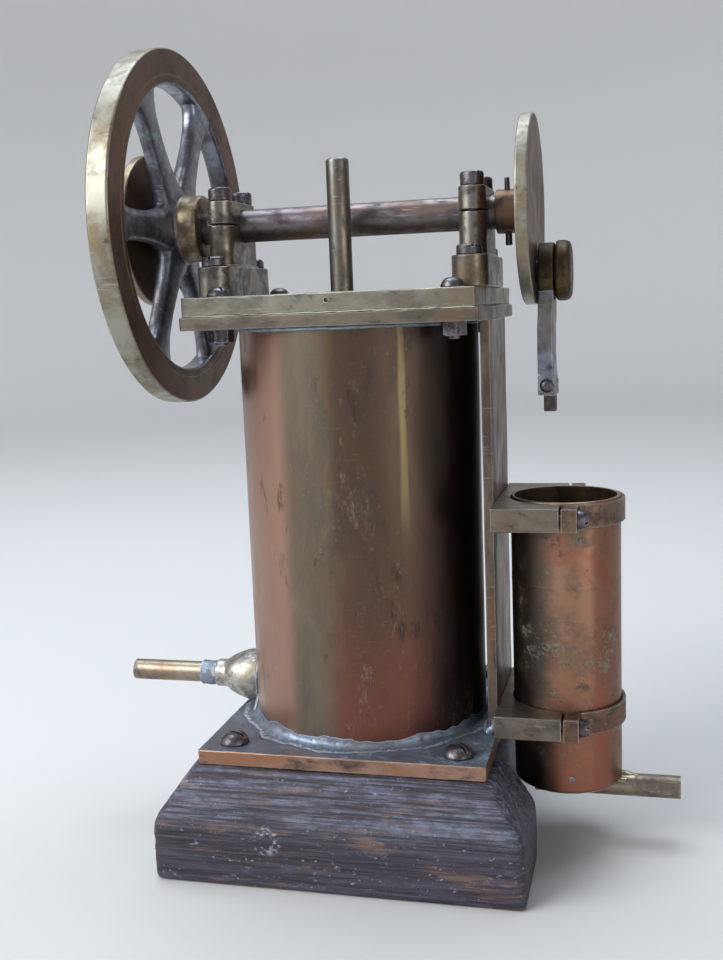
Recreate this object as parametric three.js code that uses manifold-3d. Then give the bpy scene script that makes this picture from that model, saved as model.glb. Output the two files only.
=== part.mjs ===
// Model steam engine on a wooden plinth: an upright cylinder carries a
// crankshaft in two split bearings, with a six-spoke flywheel on the left
// and a crank disc over a small clamped barrel on the right.
//
// Millimetres, +Z up, +X along the crankshaft towards the crank disc.
// The origin is the centre of the plinth's underside.
import * as THREE from 'three';
import { mergeVertices } from 'three/addons/utils/BufferGeometryUtils.js';
import Module from 'manifold-3d';

const solids = await Module();
solids.setup();

// ---------------------------------------------------------------- clearances
const seatGap = 0.3;          // a piece set in, or cut to, its neighbour
const runningGap = 0.25;      // shaft in its bearings, rod in its bush
const faceGap = 0.4;          // between faces that turn past each other
const barrelClearance = 2.2;  // wood sawn back round the small barrel

// -------------------------------------------------------------------- plinth
const plinthHeight = 28.75;
const plinthMargin = 0.2;       // flat top beyond the base plate
const plinthSpread = 8.9;       // run of the sloping side
const plinthSideHeight = 16;    // upright part of the side
const plinthShoulder = 3;       // rounding below the slope
const plinthRoundSteps = 3;

// ---------------------------------------------------------------- base plate
const basePlateMarginX = 5.5;   // plate beyond the main cylinder
const basePlateMarginY = 6.8;
const basePlateThickness = 3.9;
const baseScrewInsetX = 7.9;    // screw axis from the plate's edge
const baseScrewInsetY = 6.8;
const baseScrewHeadRadius = 4;
const baseScrewHeadHeight = 2.8;
const baseScrewShankRadius = 2;
const baseScrewLength = 18;

// ------------------------------------------------------------- main cylinder
const cylinderRadius = 32.6;
const cylinderWall = 1.2;
const cylinderLength = 109.15;
const solderFoot = 2.6;         // width of the solder fillet on the plate
const solderHeight = 2.4;

// ---------------------------------------------------- flange and cover plate
const flangeMarginX = 5.55;     // flange beyond the main cylinder
const coverMarginX = 4.75;
const topMarginY = 1.9;
const flangeThickness = 3.4;
const gasketThickness = 0.25;
const coverThickness = 4.6;
const coverScrewInsetX = 6.85;  // screw axis from the cover's edge
const coverScrewInsetY = 9.3;
const coverScrewHeadRadius = 3.1;
const coverScrewHeadHeight = 2.6;
const coverScrewShankRadius = 1.5;
const coverNutFlats = 6;        // across flats
const coverNutHeight = 3.4;
const coverScrewTail = 0.9;     // thread showing under the nut
const witnessHoleRadius = 0.5;  // small drilled mark in the cover's front edge
const witnessHoleDepth = 1.5;
const witnessHoleX = 0.8;

// --------------------------------------------------- shaft line and bearings
const shaftY = -3.3;
const shaftHeight = 19.05;      // above the cover plate
const shaftRadius = 4.36;
const bearingInset = 3.55;      // middle of the bearing from the cover's edge
const footWidth = 9.2;
const footHalfLength = 19;
const footHeight = 8;
const earRadius = 3.55;
const earSpacing = 8;           // ear axis to shaft axis
const capHeight = 6.2;          // above the shaft axis
const capSplit = 0.3;
const capScrewHeadRadius = 3.1;
const capScrewHeadHeight = 3.6;
const capScrewShankRadius = 1.4;
const capScrewDepth = 6;        // thread in the pedestal
const footBoltInset = 3.75;     // bolt axis from the end of the foot
const footBoltHeadRadius = 3.3;
const footBoltHeadHeight = 2.7;
const footBoltShankRadius = 1.6;
const footBoltDepth = 6;        // thread below the foot

// ------------------------------------------------------------------ flywheel
const flywheelGap = 3.75;       // hub to bearing
const flywheelRadius = 47.6;
const flywheelRimInner = 38.2;
const flywheelWidth = 6.2;
const flywheelHubWall = 4.64;
const flywheelHubInner = 9.2;   // hub face towards the bearing, from mid wheel
const flywheelHubOuter = 4.6;   // hub face away from the bearing
const spokeCount = 6;
const spokePhase = 30;          // degrees, first spoke from the top
const spokeRadius = 3.3;
const spokeFlare = 5.2;         // where it meets the hub and the rim
const spokeFlatness = 0.6;      // thickness to width

// ----------------------------------------------------- discs, pins and shaft
const leftDiscRadius = 20.5;
const leftDiscThickness = 2.3;
const leftDiscGap = 1.4;        // flywheel hub to left disc
const leftDiscHole = 1.9;
const crankDiscRadius = 24;
const crankDiscThickness = 3.1;
const crankHubGap = 1.65;       // hub to bearing
const crankHubWall = 1.24;
const crankHubLength = 7;
const shaftInDisc = 1.5;        // shaft end short of the crank disc's far face
const taperPinRadiusSmall = 0.65;
const taperPinRadiusLarge = 0.9;
const taperPinOut = 3;          // pin beyond the hub on each side
const taperPinTilt = 8;         // degrees from upright
const taperPinBack = 4.2;       // pin axis behind the crank disc
const crankThrow = 15.6;
const crankPinRadius = 3;
const pinHeadRadius = 7.7;
const pinHeadThickness = 4;

// ---------------------------------------------------------------------- link
const linkEyeRadius = 7.25;
const linkThickness = 4;
const linkGap = 0.6;            // crank disc to eye, so that the bowed arm swings clear
const linkDepth = 12;           // front to back
const linkArmLength = 31.7;     // pin axis to the end of the arm
const linkBow = 0.7;            // sideways bow of the arm
const linkBlockHeight = 5.1;
const linkBlockThickness = 4.6;
const tongueLength = 10.4;
const tongueWidth = 3.4;
const tongueDrop = 5.3;         // tongue below the block
const tongueThickness = 2.6;
const tongueOffset = -0.3;      // tongue to the right of the block's middle
const rivetRadius = 1.1;
const rivetHeadRadius = 1.9;
const rivetHeadHeight = 0.8;

// ------------------------------------------------------- rod and its drum
const rodY = -15.7;
const rodRadius = 2.96;
const rodOut = 33.75;           // rod above the cover at rest
const bushWall = 1.74;
const drumGap = 1.1;            // drum to cylinder wall
const drumWall = 1;
const drumTopThickness = 2;
const drumRest = 1.6;           // drum above the base plate at rest
const drumStroke = 32;
const drumHeadroom = 3.55;      // drum to cover at the top of its stroke
const drumNutFlats = 8;
const drumNutHeight = 4;
const rodBelowNut = 2;

// ------------------------------------------ side strip, clamps, small barrel
const stripThickness = 2.6;
const stripHalfWidth = 16;
const stripSolder = 2;
const saddleWeb = 3.05;         // strip to the barrel's nearest side
const barrelRadius = 14.4;
const barrelWall = 0.95;
const barrelBelowPlate = 15.15; // barrel's foot below the base plate's top
const barrelLength = 77.7;
const plugThickness = 3.6;
const plugOut = 0.5;            // plug below the barrel's foot
const clampHeight = 6.2;
const upperClampDrop = 0.4;     // clamp's top below the barrel's rim
const lowerClampRise = 1.35;    // clamp's underside above the base plate
const lugReach = 6;             // lugs beyond the barrel
const strapThickness = 1;
const lugThickness = 4.2;
const clampSplit = 0.3;
const clampScrewInset = 3;      // screw axis from the lug's end
const clampScrewHeadRadius = 2.1;
const clampScrewHeadHeight = 2.7;
const clampScrewShankRadius = 1.1;
const clampScrewDepth = 8;

// --------------------------------------------------------------------- tubes
const outletRise = -2.4;        // tube axis above the barrel's foot
const outletInset = 9;          // tube's inner end from the barrel's axis
const outletRadius = 3.05;
const outletBore = 2.1;
const outletLength = 14.8;      // beyond the barrel
const inletRise = 7.95;         // tube axis above the base plate
const inletRadius = 3;
const inletBore = 2.1;
const inletLength = 26;         // beyond the cone
const bossLargeRadius = 7.5;
const bossSmallRadius = 4.3;
const bossLength = 14.5;        // beyond the cylinder wall
const tubeInBoss = 8;

// ------------------------------------------------------------ derived levels
const plateTop = plinthHeight + basePlateThickness;
const flangeBottom = plateTop + cylinderLength;
const gasketBottom = flangeBottom + flangeThickness;
const coverBottom = gasketBottom + gasketThickness;
const coverTop = coverBottom + coverThickness;
const footTop = coverTop + footHeight;
const shaftZ = coverTop + shaftHeight;
const crankPinZ = shaftZ - crankThrow;
const rodTop = coverTop + rodOut;
const inletZ = plateTop + inletRise;
const barrelBottom = plateTop - barrelBelowPlate;
const barrelTop = barrelBottom + barrelLength;
const outletZ = barrelBottom + outletRise;
const upperClampZ = barrelTop - upperClampDrop - clampHeight;
const lowerClampZ = plateTop + lowerClampRise;

// ------------------------------------------------- derived places and widths
const basePlateHalfX = cylinderRadius + basePlateMarginX;
const basePlateHalfY = cylinderRadius + basePlateMarginY;
const flangeHalfX = cylinderRadius + flangeMarginX;
const coverHalfX = cylinderRadius + coverMarginX;
const topHalfY = cylinderRadius + topMarginY;
const plinthTopHalf = basePlateHalfY + plinthMargin;
const plinthHalf = plinthTopHalf + plinthSpread;
const baseScrewX = basePlateHalfX - baseScrewInsetX;
const baseScrewY = basePlateHalfY - baseScrewInsetY;
const coverScrewX = coverHalfX - coverScrewInsetX;
const coverScrewY = topHalfY - coverScrewInsetY;
const cylinderBore = cylinderRadius - cylinderWall;
const bearingX = coverHalfX - bearingInset;
const bearingFace = bearingX + earRadius;
const flywheelHubRadius = shaftRadius + flywheelHubWall;
const flywheelX = -(bearingFace + flywheelGap + flywheelHubInner);
const crankHubRadius = shaftRadius + crankHubWall;
const crankDiscX = bearingFace + crankHubGap + crankHubLength;
const crankDiscFace = crankDiscX + crankDiscThickness;
const bushRadius = rodRadius + bushWall;
const barrelX = flangeHalfX + saddleWeb + barrelRadius;
const barrelY = shaftY;
const barrelBore = barrelRadius - barrelWall;
const clampHalfY = barrelRadius + seatGap + lugReach;

// Facets round a circle, by its size.
const facets = { large: 40, medium: 24, small: 12 };

// ----------------------------------------------------------------- materials
function finish(color, roughness, metalness) {
  return new THREE.MeshStandardMaterial({ color, roughness, metalness });
}
const blackWood = finish(0x2a211d, 0.7, 0);
const plateBrass = finish(0x8f8a66, 0.5, 0.9);
const tubeBrass = finish(0x7c5c3c, 0.4, 0.95);
const wheelBrass = finish(0x8c7e5c, 0.45, 0.9);
const darkSteel = finish(0x3d3633, 0.5, 0.8);
const shaftSteel = finish(0x473a36, 0.5, 0.85);
const solderGrey = finish(0x9aa0a0, 0.55, 0.7);
const gasketCard = finish(0xb9b7a6, 0.9, 0);

// ------------------------------------------------------------ solid modelling
function toSolid(geometry) {
  const bare = geometry.index ? geometry.toNonIndexed() : geometry.clone();
  for (const name of Object.keys(bare.attributes)) {
    if (name !== 'position') bare.deleteAttribute(name);
  }
  const merged = mergeVertices(bare, 1e-4);
  return new solids.Manifold(new solids.Mesh({
    numProp: 3,
    vertProperties: new Float32Array(merged.attributes.position.array),
    triVerts: new Uint32Array(merged.index.array),
  }));
}

function toGeometry(solid) {
  const mesh = solid.getMesh();
  const geometry = new THREE.BufferGeometry();
  geometry.setAttribute('position', new THREE.BufferAttribute(new Float32Array(mesh.vertProperties), 3));
  geometry.setIndex(new THREE.BufferAttribute(new Uint32Array(mesh.triVerts), 1));
  return geometry;
}

const join = (...shapes) => toGeometry(
  shapes.map(toSolid).reduce((whole, piece) => whole.add(piece)));
const cut = (shape, ...tools) => toGeometry(
  tools.map(toSolid).reduce((whole, tool) => whole.subtract(tool), toSolid(shape)));

// A solid of revolution about +Z; the profile is a closed list of [radius, z].
function turned(profile, segments) {
  const points = profile.map(([r, z]) => new THREE.Vector2(r, z));
  return new THREE.LatheGeometry(points, segments).rotateX(Math.PI / 2);
}

function disc(radius, z0, z1, segments = facets.medium) {
  return turned([[0, z0], [radius, z0], [radius, z1], [0, z1]], segments);
}

function ring(outer, inner, z0, z1, segments = facets.large) {
  return turned([[inner, z0], [outer, z0], [outer, z1], [inner, z1], [inner, z0]], segments);
}

function block(x0, x1, y0, y1, z0, z1) {
  return new THREE.BoxGeometry(x1 - x0, y1 - y0, z1 - z0)
    .translate((x0 + x1) / 2, (y0 + y1) / 2, (z0 + z1) / 2);
}

// Flat-sided bar with round ends, long in Y, centred on the origin in plan.
function roundEndedBar(halfLength, radius, z0, z1, segments = 8) {
  const outline = new THREE.Shape();
  outline.absarc(0, halfLength - radius, radius, 0, Math.PI, false);
  outline.absarc(0, radius - halfLength, radius, Math.PI, 2 * Math.PI, false);
  outline.closePath();
  return new THREE.ExtrudeGeometry(outline, { depth: z1 - z0, bevelEnabled: false, curveSegments: segments })
    .translate(0, 0, z0);
}

const alongX = (geometry) => geometry.rotateY(Math.PI / 2);
const at = (geometry, x, y, z) => geometry.translate(x, y, z);

// Head and shank pointing down, with the seat of the head at z = 0.
function screw({ headRadius, headHeight, shankRadius, length, domed = true }) {
  const crown = domed
    ? [[headRadius, headHeight * 0.35], [headRadius * 0.6, headHeight]]
    : [[headRadius, headHeight]];
  const body = turned([
    [0, -length], [shankRadius, -length], [shankRadius, 0], [headRadius, 0], ...crown, [0, headHeight],
  ], facets.small);
  const slotWidth = headRadius * 0.3;
  const slotDepth = headHeight * 0.35;
  return cut(body, block(-slotWidth / 2, slotWidth / 2, -headRadius * 1.2, headRadius * 1.2,
    headHeight - slotDepth, headHeight + 1));
}

function hexNut(flats, height, bore) {
  const outer = turned([[0, 0], [flats / Math.sqrt(3), 0], [flats / Math.sqrt(3), height], [0, height]], 6);
  return cut(outer, disc(bore, -1, height + 1, facets.small));
}

// ------------------------------------------------------------------ assembly
const group = new THREE.Group();

function place(parent, name, geometry, material, x = 0, y = 0, z = 0) {
  const bare = geometry.clone();
  for (const attribute of Object.keys(bare.attributes)) {
    if (attribute !== 'position') bare.deleteAttribute(attribute);
  }
  const clean = mergeVertices(bare, 1e-4);
  clean.computeVertexNormals();
  const mesh = new THREE.Mesh(clean, material);
  mesh.name = name;
  mesh.position.set(x, y, z);
  parent.add(mesh);
  return mesh;
}

const ends = [['left', -1], ['right', 1]];
const sides = [['front', -1], ['rear', 1]];
const corners = sides.flatMap(([side, sy]) => ends.map(([end, sx]) => [`${side}_${end}`, sx, sy]));

// Plinth: a square profile swept round four corners, upright at the foot and
// sloping in to the base plate above a rounded shoulder.
function plinthBody() {
  const profile = [[0, 0], [plinthHalf, 0]];
  const slope = Math.atan2(plinthHeight - plinthSideHeight, plinthSpread);
  const side = new THREE.Vector2(plinthHalf, plinthSideHeight);
  const shoulder = new THREE.QuadraticBezierCurve(
    side, new THREE.Vector2(plinthHalf, plinthSideHeight + plinthShoulder * 0.7),
    new THREE.Vector2(plinthHalf - plinthShoulder * Math.cos(slope), plinthSideHeight + plinthShoulder * (0.7 + Math.sin(slope))));
  profile.push(...shoulder.getPoints(plinthRoundSteps).map(({ x, y }) => [x, y]));
  profile.push([plinthTopHalf, plinthHeight], [0, plinthHeight]);
  const body = turned(profile.map(([r, z]) => [r * Math.SQRT2, z]), 4).rotateZ(Math.PI / 4);
  const tools = [block(barrelX - barrelRadius - barrelClearance, plinthHalf + 5,
    barrelY - barrelRadius - barrelClearance, plinthHalf + 5, -1, plinthHeight + 1)];
  for (const [, sx, sy] of corners) {
    tools.push(at(disc(baseScrewShankRadius + seatGap, plateTop - baseScrewLength - seatGap, plinthHeight + 1, facets.small),
      sx * baseScrewX, sy * baseScrewY, 0));
  }
  return cut(body, ...tools);
}

const frame = new THREE.Group();
group.add(frame);
place(frame, 'wood_base', plinthBody(), blackWood);

// Base plate and its wood screws.
const basePlate = block(-basePlateHalfX, basePlateHalfX, -basePlateHalfY, basePlateHalfY, plinthHeight, plateTop);
place(frame, 'base_plate', cut(basePlate, ...corners.map(([, sx, sy]) => at(
  disc(baseScrewShankRadius + seatGap, plinthHeight - 1, plateTop + 1, facets.small),
  sx * baseScrewX, sy * baseScrewY, 0))), plateBrass);
for (const [corner, sx, sy] of corners) {
  place(frame, `base_screw_${corner}`, screw({
    headRadius: baseScrewHeadRadius, headHeight: baseScrewHeadHeight,
    shankRadius: baseScrewShankRadius, length: baseScrewLength,
  }), darkSteel, sx * baseScrewX, sy * baseScrewY, plateTop);
}

// Main cylinder with the inlet hole, and solder round its foot.
const inletHole = alongX(disc(inletBore, -cylinderRadius - 5, -cylinderBore + 5, facets.small));
place(frame, 'main_cylinder', cut(
  ring(cylinderRadius, cylinderBore, plateTop, flangeBottom, facets.large),
  at(inletHole, 0, 0, inletZ)), tubeBrass);
const solderInner = cylinderRadius + seatGap;
const solderOuter = solderInner + solderFoot;
place(frame, 'cylinder_solder', cut(
  turned([[solderInner, plateTop], [solderOuter, plateTop], [solderInner + solderFoot * 0.35, plateTop + solderHeight * 0.35],
    [solderInner + 0.5, plateTop + solderHeight], [solderInner, plateTop + solderHeight], [solderInner, plateTop]], facets.large),
  at(alongX(disc(bossLargeRadius + seatGap, -cylinderRadius - bossLength, 0, facets.medium)), 0, 0, inletZ),
  block(flangeHalfX - stripThickness - stripSolder - 2 * seatGap, flangeHalfX + 5, -stripHalfWidth - stripSolder - seatGap,
    stripHalfWidth + stripSolder + seatGap, plateTop - 1, plateTop + solderHeight + 1)), solderGrey);

// Flange and cover, with holes for the screws, the bearing bolts and the rod.
const coverHoles = corners.map(([, sx, sy]) => at(
  disc(coverScrewShankRadius + seatGap, flangeBottom - 1, coverTop + 1, facets.small), sx * coverScrewX, sy * coverScrewY, 0));
const footBoltY = footHalfLength - footBoltInset;
const boltBottom = coverTop - footBoltDepth;
const boltHoles = corners.map(([, sx, sy]) => at(
  disc(footBoltShankRadius + seatGap, boltBottom - seatGap, coverTop + 1, facets.small),
  sx * bearingX, shaftY + sy * footBoltY, 0));
const flangePlate = block(-flangeHalfX, flangeHalfX, -topHalfY, topHalfY, flangeBottom, gasketBottom);
place(frame, 'top_flange', cut(flangePlate, disc(cylinderBore, flangeBottom - 1, gasketBottom + 1, facets.large),
  ...coverHoles, ...boltHoles), plateBrass);
place(frame, 'gasket', cut(block(-coverHalfX, coverHalfX, -topHalfY, topHalfY, gasketBottom, coverBottom),
  disc(cylinderBore, gasketBottom - 1, coverBottom + 1, facets.large), ...coverHoles, ...boltHoles), gasketCard);
const bushBore = at(disc(bushRadius + seatGap, coverBottom - 1, coverTop + 1, facets.medium), 0, rodY, 0);
const witnessHole = disc(witnessHoleRadius, -witnessHoleDepth, 1, 8).rotateX(Math.PI / 2);
place(frame, 'cover_plate', cut(
  block(-coverHalfX, coverHalfX, -topHalfY, topHalfY, coverBottom, coverTop),
  ...coverHoles, ...boltHoles, bushBore,
  at(witnessHole, witnessHoleX, -topHalfY, coverBottom + coverThickness * 0.6)), plateBrass);
for (const [corner, sx, sy] of corners) {
  const grip = coverTop - flangeBottom + coverNutHeight + coverScrewTail;
  place(frame, `cover_screw_${corner}`, screw({
    headRadius: coverScrewHeadRadius, headHeight: coverScrewHeadHeight,
    shankRadius: coverScrewShankRadius, length: grip,
  }), darkSteel, sx * coverScrewX, sy * coverScrewY, coverTop);
  place(frame, `cover_nut_${corner}`, hexNut(coverNutFlats, coverNutHeight, coverScrewShankRadius + seatGap),
    darkSteel, sx * coverScrewX, sy * coverScrewY, flangeBottom - coverNutHeight);
}
place(frame, 'rod_bush', ring(bushRadius, rodRadius + runningGap, coverBottom, coverTop, facets.medium), darkSteel, 0, rodY, 0);

// Bearings: foot and eared column below the shaft line, split cap above it.
for (const [end, sx] of ends) {
  const journal = at(alongX(disc(shaftRadius + runningGap, -footWidth, footWidth, facets.medium)), 0, 0, shaftZ);
  const earHalf = earSpacing + earRadius;
  const screwHoles = sides.map(([, sy]) => at(
    disc(capScrewShankRadius + seatGap, shaftZ - capScrewDepth - seatGap, shaftZ + capHeight + 1, facets.small), 0, sy * earSpacing, 0));
  const footHoles = sides.map(([, sy]) => at(
    disc(footBoltShankRadius + seatGap, coverTop - 1, footTop + 1, facets.small), 0, sy * footBoltY, 0));
  place(frame, `pedestal_${end}`, cut(join(
    roundEndedBar(footHalfLength, footWidth / 2, coverTop, footTop),
    roundEndedBar(earHalf, earRadius, footTop - 1, shaftZ)), journal, ...screwHoles, ...footHoles),
  plateBrass, sx * bearingX, shaftY, 0);
  place(frame, `cap_${end}`, cut(
    roundEndedBar(earHalf, earRadius, shaftZ + capSplit, shaftZ + capHeight), journal, ...screwHoles),
  plateBrass, sx * bearingX, shaftY, 0);
  for (const [side, sy] of sides) {
    place(frame, `cap_screw_${end}_${side}`, screw({
      headRadius: capScrewHeadRadius, headHeight: capScrewHeadHeight,
      shankRadius: capScrewShankRadius, length: capHeight + capScrewDepth, domed: false,
    }), darkSteel, sx * bearingX, shaftY + sy * earSpacing, shaftZ + capHeight);
    place(frame, `foot_bolt_${end}_${side}`, screw({
      headRadius: footBoltHeadRadius, headHeight: footBoltHeadHeight,
      shankRadius: footBoltShankRadius, length: footHeight + footBoltDepth, domed: false,
    }), darkSteel, sx * bearingX, shaftY + sy * footBoltY, footTop);
  }
}

// Side strip between the plates, flush with the flange, with solder at its foot.
const stripOuter = flangeHalfX;
const stripInner = stripOuter - stripThickness;
const stripBottom = plateTop;
place(frame, 'side_strip', cut(
  block(stripInner, stripOuter, -stripHalfWidth, stripHalfWidth, stripBottom, flangeBottom),
  ...[upperClampZ, lowerClampZ].map((z) => at(
    alongX(disc(rivetRadius + seatGap, stripInner - 1, stripOuter + 1, facets.small)), 0, barrelY, z + clampHeight / 2))), plateBrass);
const solderShape = new THREE.Shape([
  new THREE.Vector2(0, 0), new THREE.Vector2(-stripSolder, 0), new THREE.Vector2(-0.5, stripSolder * 0.5),
  new THREE.Vector2(0, stripSolder)]);
place(frame, 'strip_solder', new THREE.ExtrudeGeometry(solderShape,
  { depth: 2 * stripHalfWidth, bevelEnabled: false }).rotateX(Math.PI / 2),
solderGrey, stripInner - seatGap, stripHalfWidth, plateTop);

// Small barrel, its plug and its outlet tube.
const outletHole = at(alongX(disc(outletRadius + seatGap, -outletInset - seatGap, barrelRadius + 5, facets.small)), 0, 0, outletZ);
place(frame, 'pump_barrel', cut(
  ring(barrelRadius, barrelBore, barrelBottom, barrelTop, facets.large), outletHole),
tubeBrass, barrelX, barrelY, 0);
place(frame, 'barrel_plug', cut(
  disc(barrelBore - seatGap, barrelBottom - plugOut, barrelBottom - plugOut + plugThickness, facets.medium), outletHole),
plateBrass, barrelX, barrelY, 0);
place(frame, 'outlet_tube', alongX(ring(outletRadius, outletBore, -outletInset, barrelRadius + outletLength, facets.small)),
  plateBrass, barrelX, barrelY, outletZ);

// Clamps: a saddle on the strip and a strap round the far half of the barrel.
for (const [level, z] of [['upper', upperClampZ], ['lower', lowerClampZ]]) {
  const reach = barrelX - stripOuter;
  const screwY = clampHalfY - clampScrewInset;
  const seat = disc(barrelRadius + seatGap, -1, clampHeight + 1, facets.large);
  const screwTools = (radius, x0, x1) => sides.map(([, sy]) => at(
    alongX(disc(radius, x0, x1, facets.small)), 0, sy * screwY, clampHeight / 2));
  place(frame, `saddle_${level}`, cut(
    block(-reach, -clampSplit, -clampHalfY, clampHalfY, 0, clampHeight), seat,
    ...screwTools(clampScrewShankRadius + seatGap, -clampScrewDepth - seatGap, 1)),
  plateBrass, barrelX, barrelY, z);
  const strapOuter = barrelRadius + seatGap + strapThickness;
  place(frame, `strap_${level}`, cut(join(
    disc(strapOuter, 0, clampHeight, facets.large),
    block(0, lugThickness, -clampHalfY, clampHalfY, 0, clampHeight)), seat,
  block(-strapOuter - 1, clampSplit, -clampHalfY - 1, clampHalfY + 1, -1, clampHeight + 1),
  ...screwTools(clampScrewShankRadius + seatGap, -1, lugThickness + 1)),
  plateBrass, barrelX, barrelY, z);
  for (const [side, sy] of sides) {
    const clampScrew = screw({
      headRadius: clampScrewHeadRadius, headHeight: clampScrewHeadHeight,
      shankRadius: clampScrewShankRadius, length: lugThickness + clampScrewDepth,
    });
    place(frame, `clamp_screw_${level}_${side}`, alongX(clampScrew), darkSteel,
      barrelX + lugThickness, barrelY + sy * screwY, z + clampHeight / 2);
  }
}

// Inlet: a cone on the cylinder wall and the tube that it carries.
const bossEnd = cylinderRadius + bossLength;
const bossProfile = [[0, 0], [bossLargeRadius, 0], [bossLargeRadius, cylinderRadius + 4.5],
  [bossSmallRadius, bossEnd - 3], [bossSmallRadius, bossEnd], [0, bossEnd]];
const boss = alongX(turned(bossProfile, facets.medium)).rotateZ(Math.PI);
place(frame, 'inlet_boss', cut(boss,
  disc(cylinderRadius + seatGap, -20, 20, facets.large),
  alongX(disc(inletBore, -bossEnd - 1, 0, facets.small)),
  alongX(disc(inletRadius + seatGap, -bossEnd - 1, -bossEnd + tubeInBoss + seatGap, facets.medium))),
solderGrey, 0, 0, inletZ);
place(frame, 'inlet_tube', alongX(ring(inletRadius, inletBore, -bossEnd - inletLength, -bossEnd + tubeInBoss, facets.medium)),
  plateBrass, 0, 0, inletZ);

// --------------------------------------------------------- turning with the shaft
const shaftGroup = new THREE.Group();
shaftGroup.position.set(0, shaftY, shaftZ);
group.add(shaftGroup);

const hubOuterX = flywheelX - flywheelHubOuter;
const leftDiscX = hubOuterX - leftDiscGap;
const shaftLeft = leftDiscX - leftDiscThickness;
const shaftRight = crankDiscFace - shaftInDisc;
place(shaftGroup, 'crankshaft', cut(alongX(disc(shaftRadius, shaftLeft, shaftRight, facets.medium)),
  disc(taperPinRadiusLarge + seatGap, -20, 20, facets.small).rotateX(THREE.MathUtils.degToRad(taperPinTilt))
    .translate(crankDiscX - taperPinBack, 0, 0)), shaftSteel);

const shaftBore = (x0, x1) => alongX(disc(shaftRadius + seatGap, x0, x1, facets.medium));

function flywheelBody() {
  const rimMid = (flywheelRadius + flywheelRimInner) / 2;
  const half = flywheelWidth / 2;
  const edge = 0.8;
  const rim = turned([
    [flywheelRimInner, -half + edge], [flywheelRimInner + edge, -half], [flywheelRadius - edge, -half],
    [flywheelRadius, -half + edge], [flywheelRadius, half - edge], [flywheelRadius - edge, half],
    [flywheelRimInner + edge, half], [flywheelRimInner, half - edge], [flywheelRimInner, -half + edge]], facets.large);
  const hub = disc(flywheelHubRadius, -flywheelHubOuter, flywheelHubInner, facets.medium);
  const spokeSpan = flywheelRimInner - flywheelHubRadius;
  const spokes = [];
  for (let index = 0; index < spokeCount; index += 1) {
    const spoke = turned([
      [0, flywheelHubRadius / 2], [spokeFlare, flywheelHubRadius / 2],
      [spokeFlare, flywheelHubRadius - 0.5], [spokeRadius * 1.1, flywheelHubRadius + spokeSpan * 0.2],
      [spokeRadius, flywheelHubRadius + spokeSpan * 0.5], [spokeRadius * 1.15, flywheelHubRadius + spokeSpan * 0.8],
      [spokeFlare, flywheelRimInner], [spokeFlare, rimMid - 1], [0, rimMid - 1]], 8);
    spoke.scale(1, spokeFlatness, 1).rotateX(-Math.PI / 2);
    spoke.rotateZ(THREE.MathUtils.degToRad(spokePhase + 360 * index / spokeCount));
    spokes.push(spoke);
  }
  return alongX(join(rim, hub, ...spokes));
}
// The hub's long side faces the bearing; no spoke stands at the top.
place(shaftGroup, 'flywheel', cut(
  flywheelBody().rotateX(Math.PI / 2), shaftBore(-flywheelHubOuter - 1, flywheelHubInner + 1)),
wheelBrass, flywheelX, 0, 0);

place(shaftGroup, 'left_disc', cut(
  alongX(disc(leftDiscRadius, 0, leftDiscThickness, facets.large)), shaftBore(-1, leftDiscThickness + 1),
  at(alongX(disc(leftDiscHole, -1, leftDiscThickness + 1, facets.small)), 0, 0, -crankThrow)),
wheelBrass, leftDiscX - leftDiscThickness, 0, 0);

const pinTilt = THREE.MathUtils.degToRad(taperPinTilt);
const pinLength = 2 * (crankHubRadius + taperPinOut);
place(shaftGroup, 'crank_disc', cut(join(
  alongX(disc(crankDiscRadius, 0, crankDiscThickness, facets.large)),
  alongX(disc(crankHubRadius, -crankHubLength, 1, facets.medium))),
alongX(disc(shaftRadius + seatGap, -crankHubLength - 1, crankDiscThickness - 1.2, facets.medium)),
at(alongX(disc(crankPinRadius + seatGap, 1, crankDiscThickness + 1, facets.medium)), 0, 0, -crankThrow),
disc(taperPinRadiusLarge + seatGap, -20, 20, facets.small).rotateX(pinTilt).translate(-taperPinBack, 0, 0)),
wheelBrass, crankDiscX, 0, 0);
place(shaftGroup, 'taper_pin', turned([[0, -pinLength / 2], [taperPinRadiusLarge, -pinLength / 2],
  [taperPinRadiusSmall, pinLength / 2], [0, pinLength / 2]], facets.small).rotateX(pinTilt), darkSteel,
crankDiscX - taperPinBack, 0, 0);

const eyeX = crankDiscFace + linkGap;
const headX = eyeX + linkThickness + faceGap;
place(shaftGroup, 'crank_pin', alongX(disc(crankPinRadius, 0, headX - crankDiscX - 1 + pinHeadThickness * 0.6 - seatGap, facets.medium)),
  darkSteel, crankDiscX + 1 + seatGap / 2, 0, -crankThrow);
place(shaftGroup, 'pin_head', cut(
  alongX(turned([[0, 0], [pinHeadRadius, 0], [pinHeadRadius, pinHeadThickness * 0.55],
    [pinHeadRadius * 0.85, pinHeadThickness * 0.85], [pinHeadRadius * 0.5, pinHeadThickness], [0, pinHeadThickness]], facets.medium)),
  alongX(disc(crankPinRadius + seatGap, -1, pinHeadThickness * 0.6 + seatGap, facets.medium))), darkSteel, headX, 0, -crankThrow);

// --------------------------------------------------------- hanging on the crank pin
const linkGroup = new THREE.Group();
linkGroup.position.set(eyeX + linkThickness / 2, shaftY, crankPinZ);
group.add(linkGroup);

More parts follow.
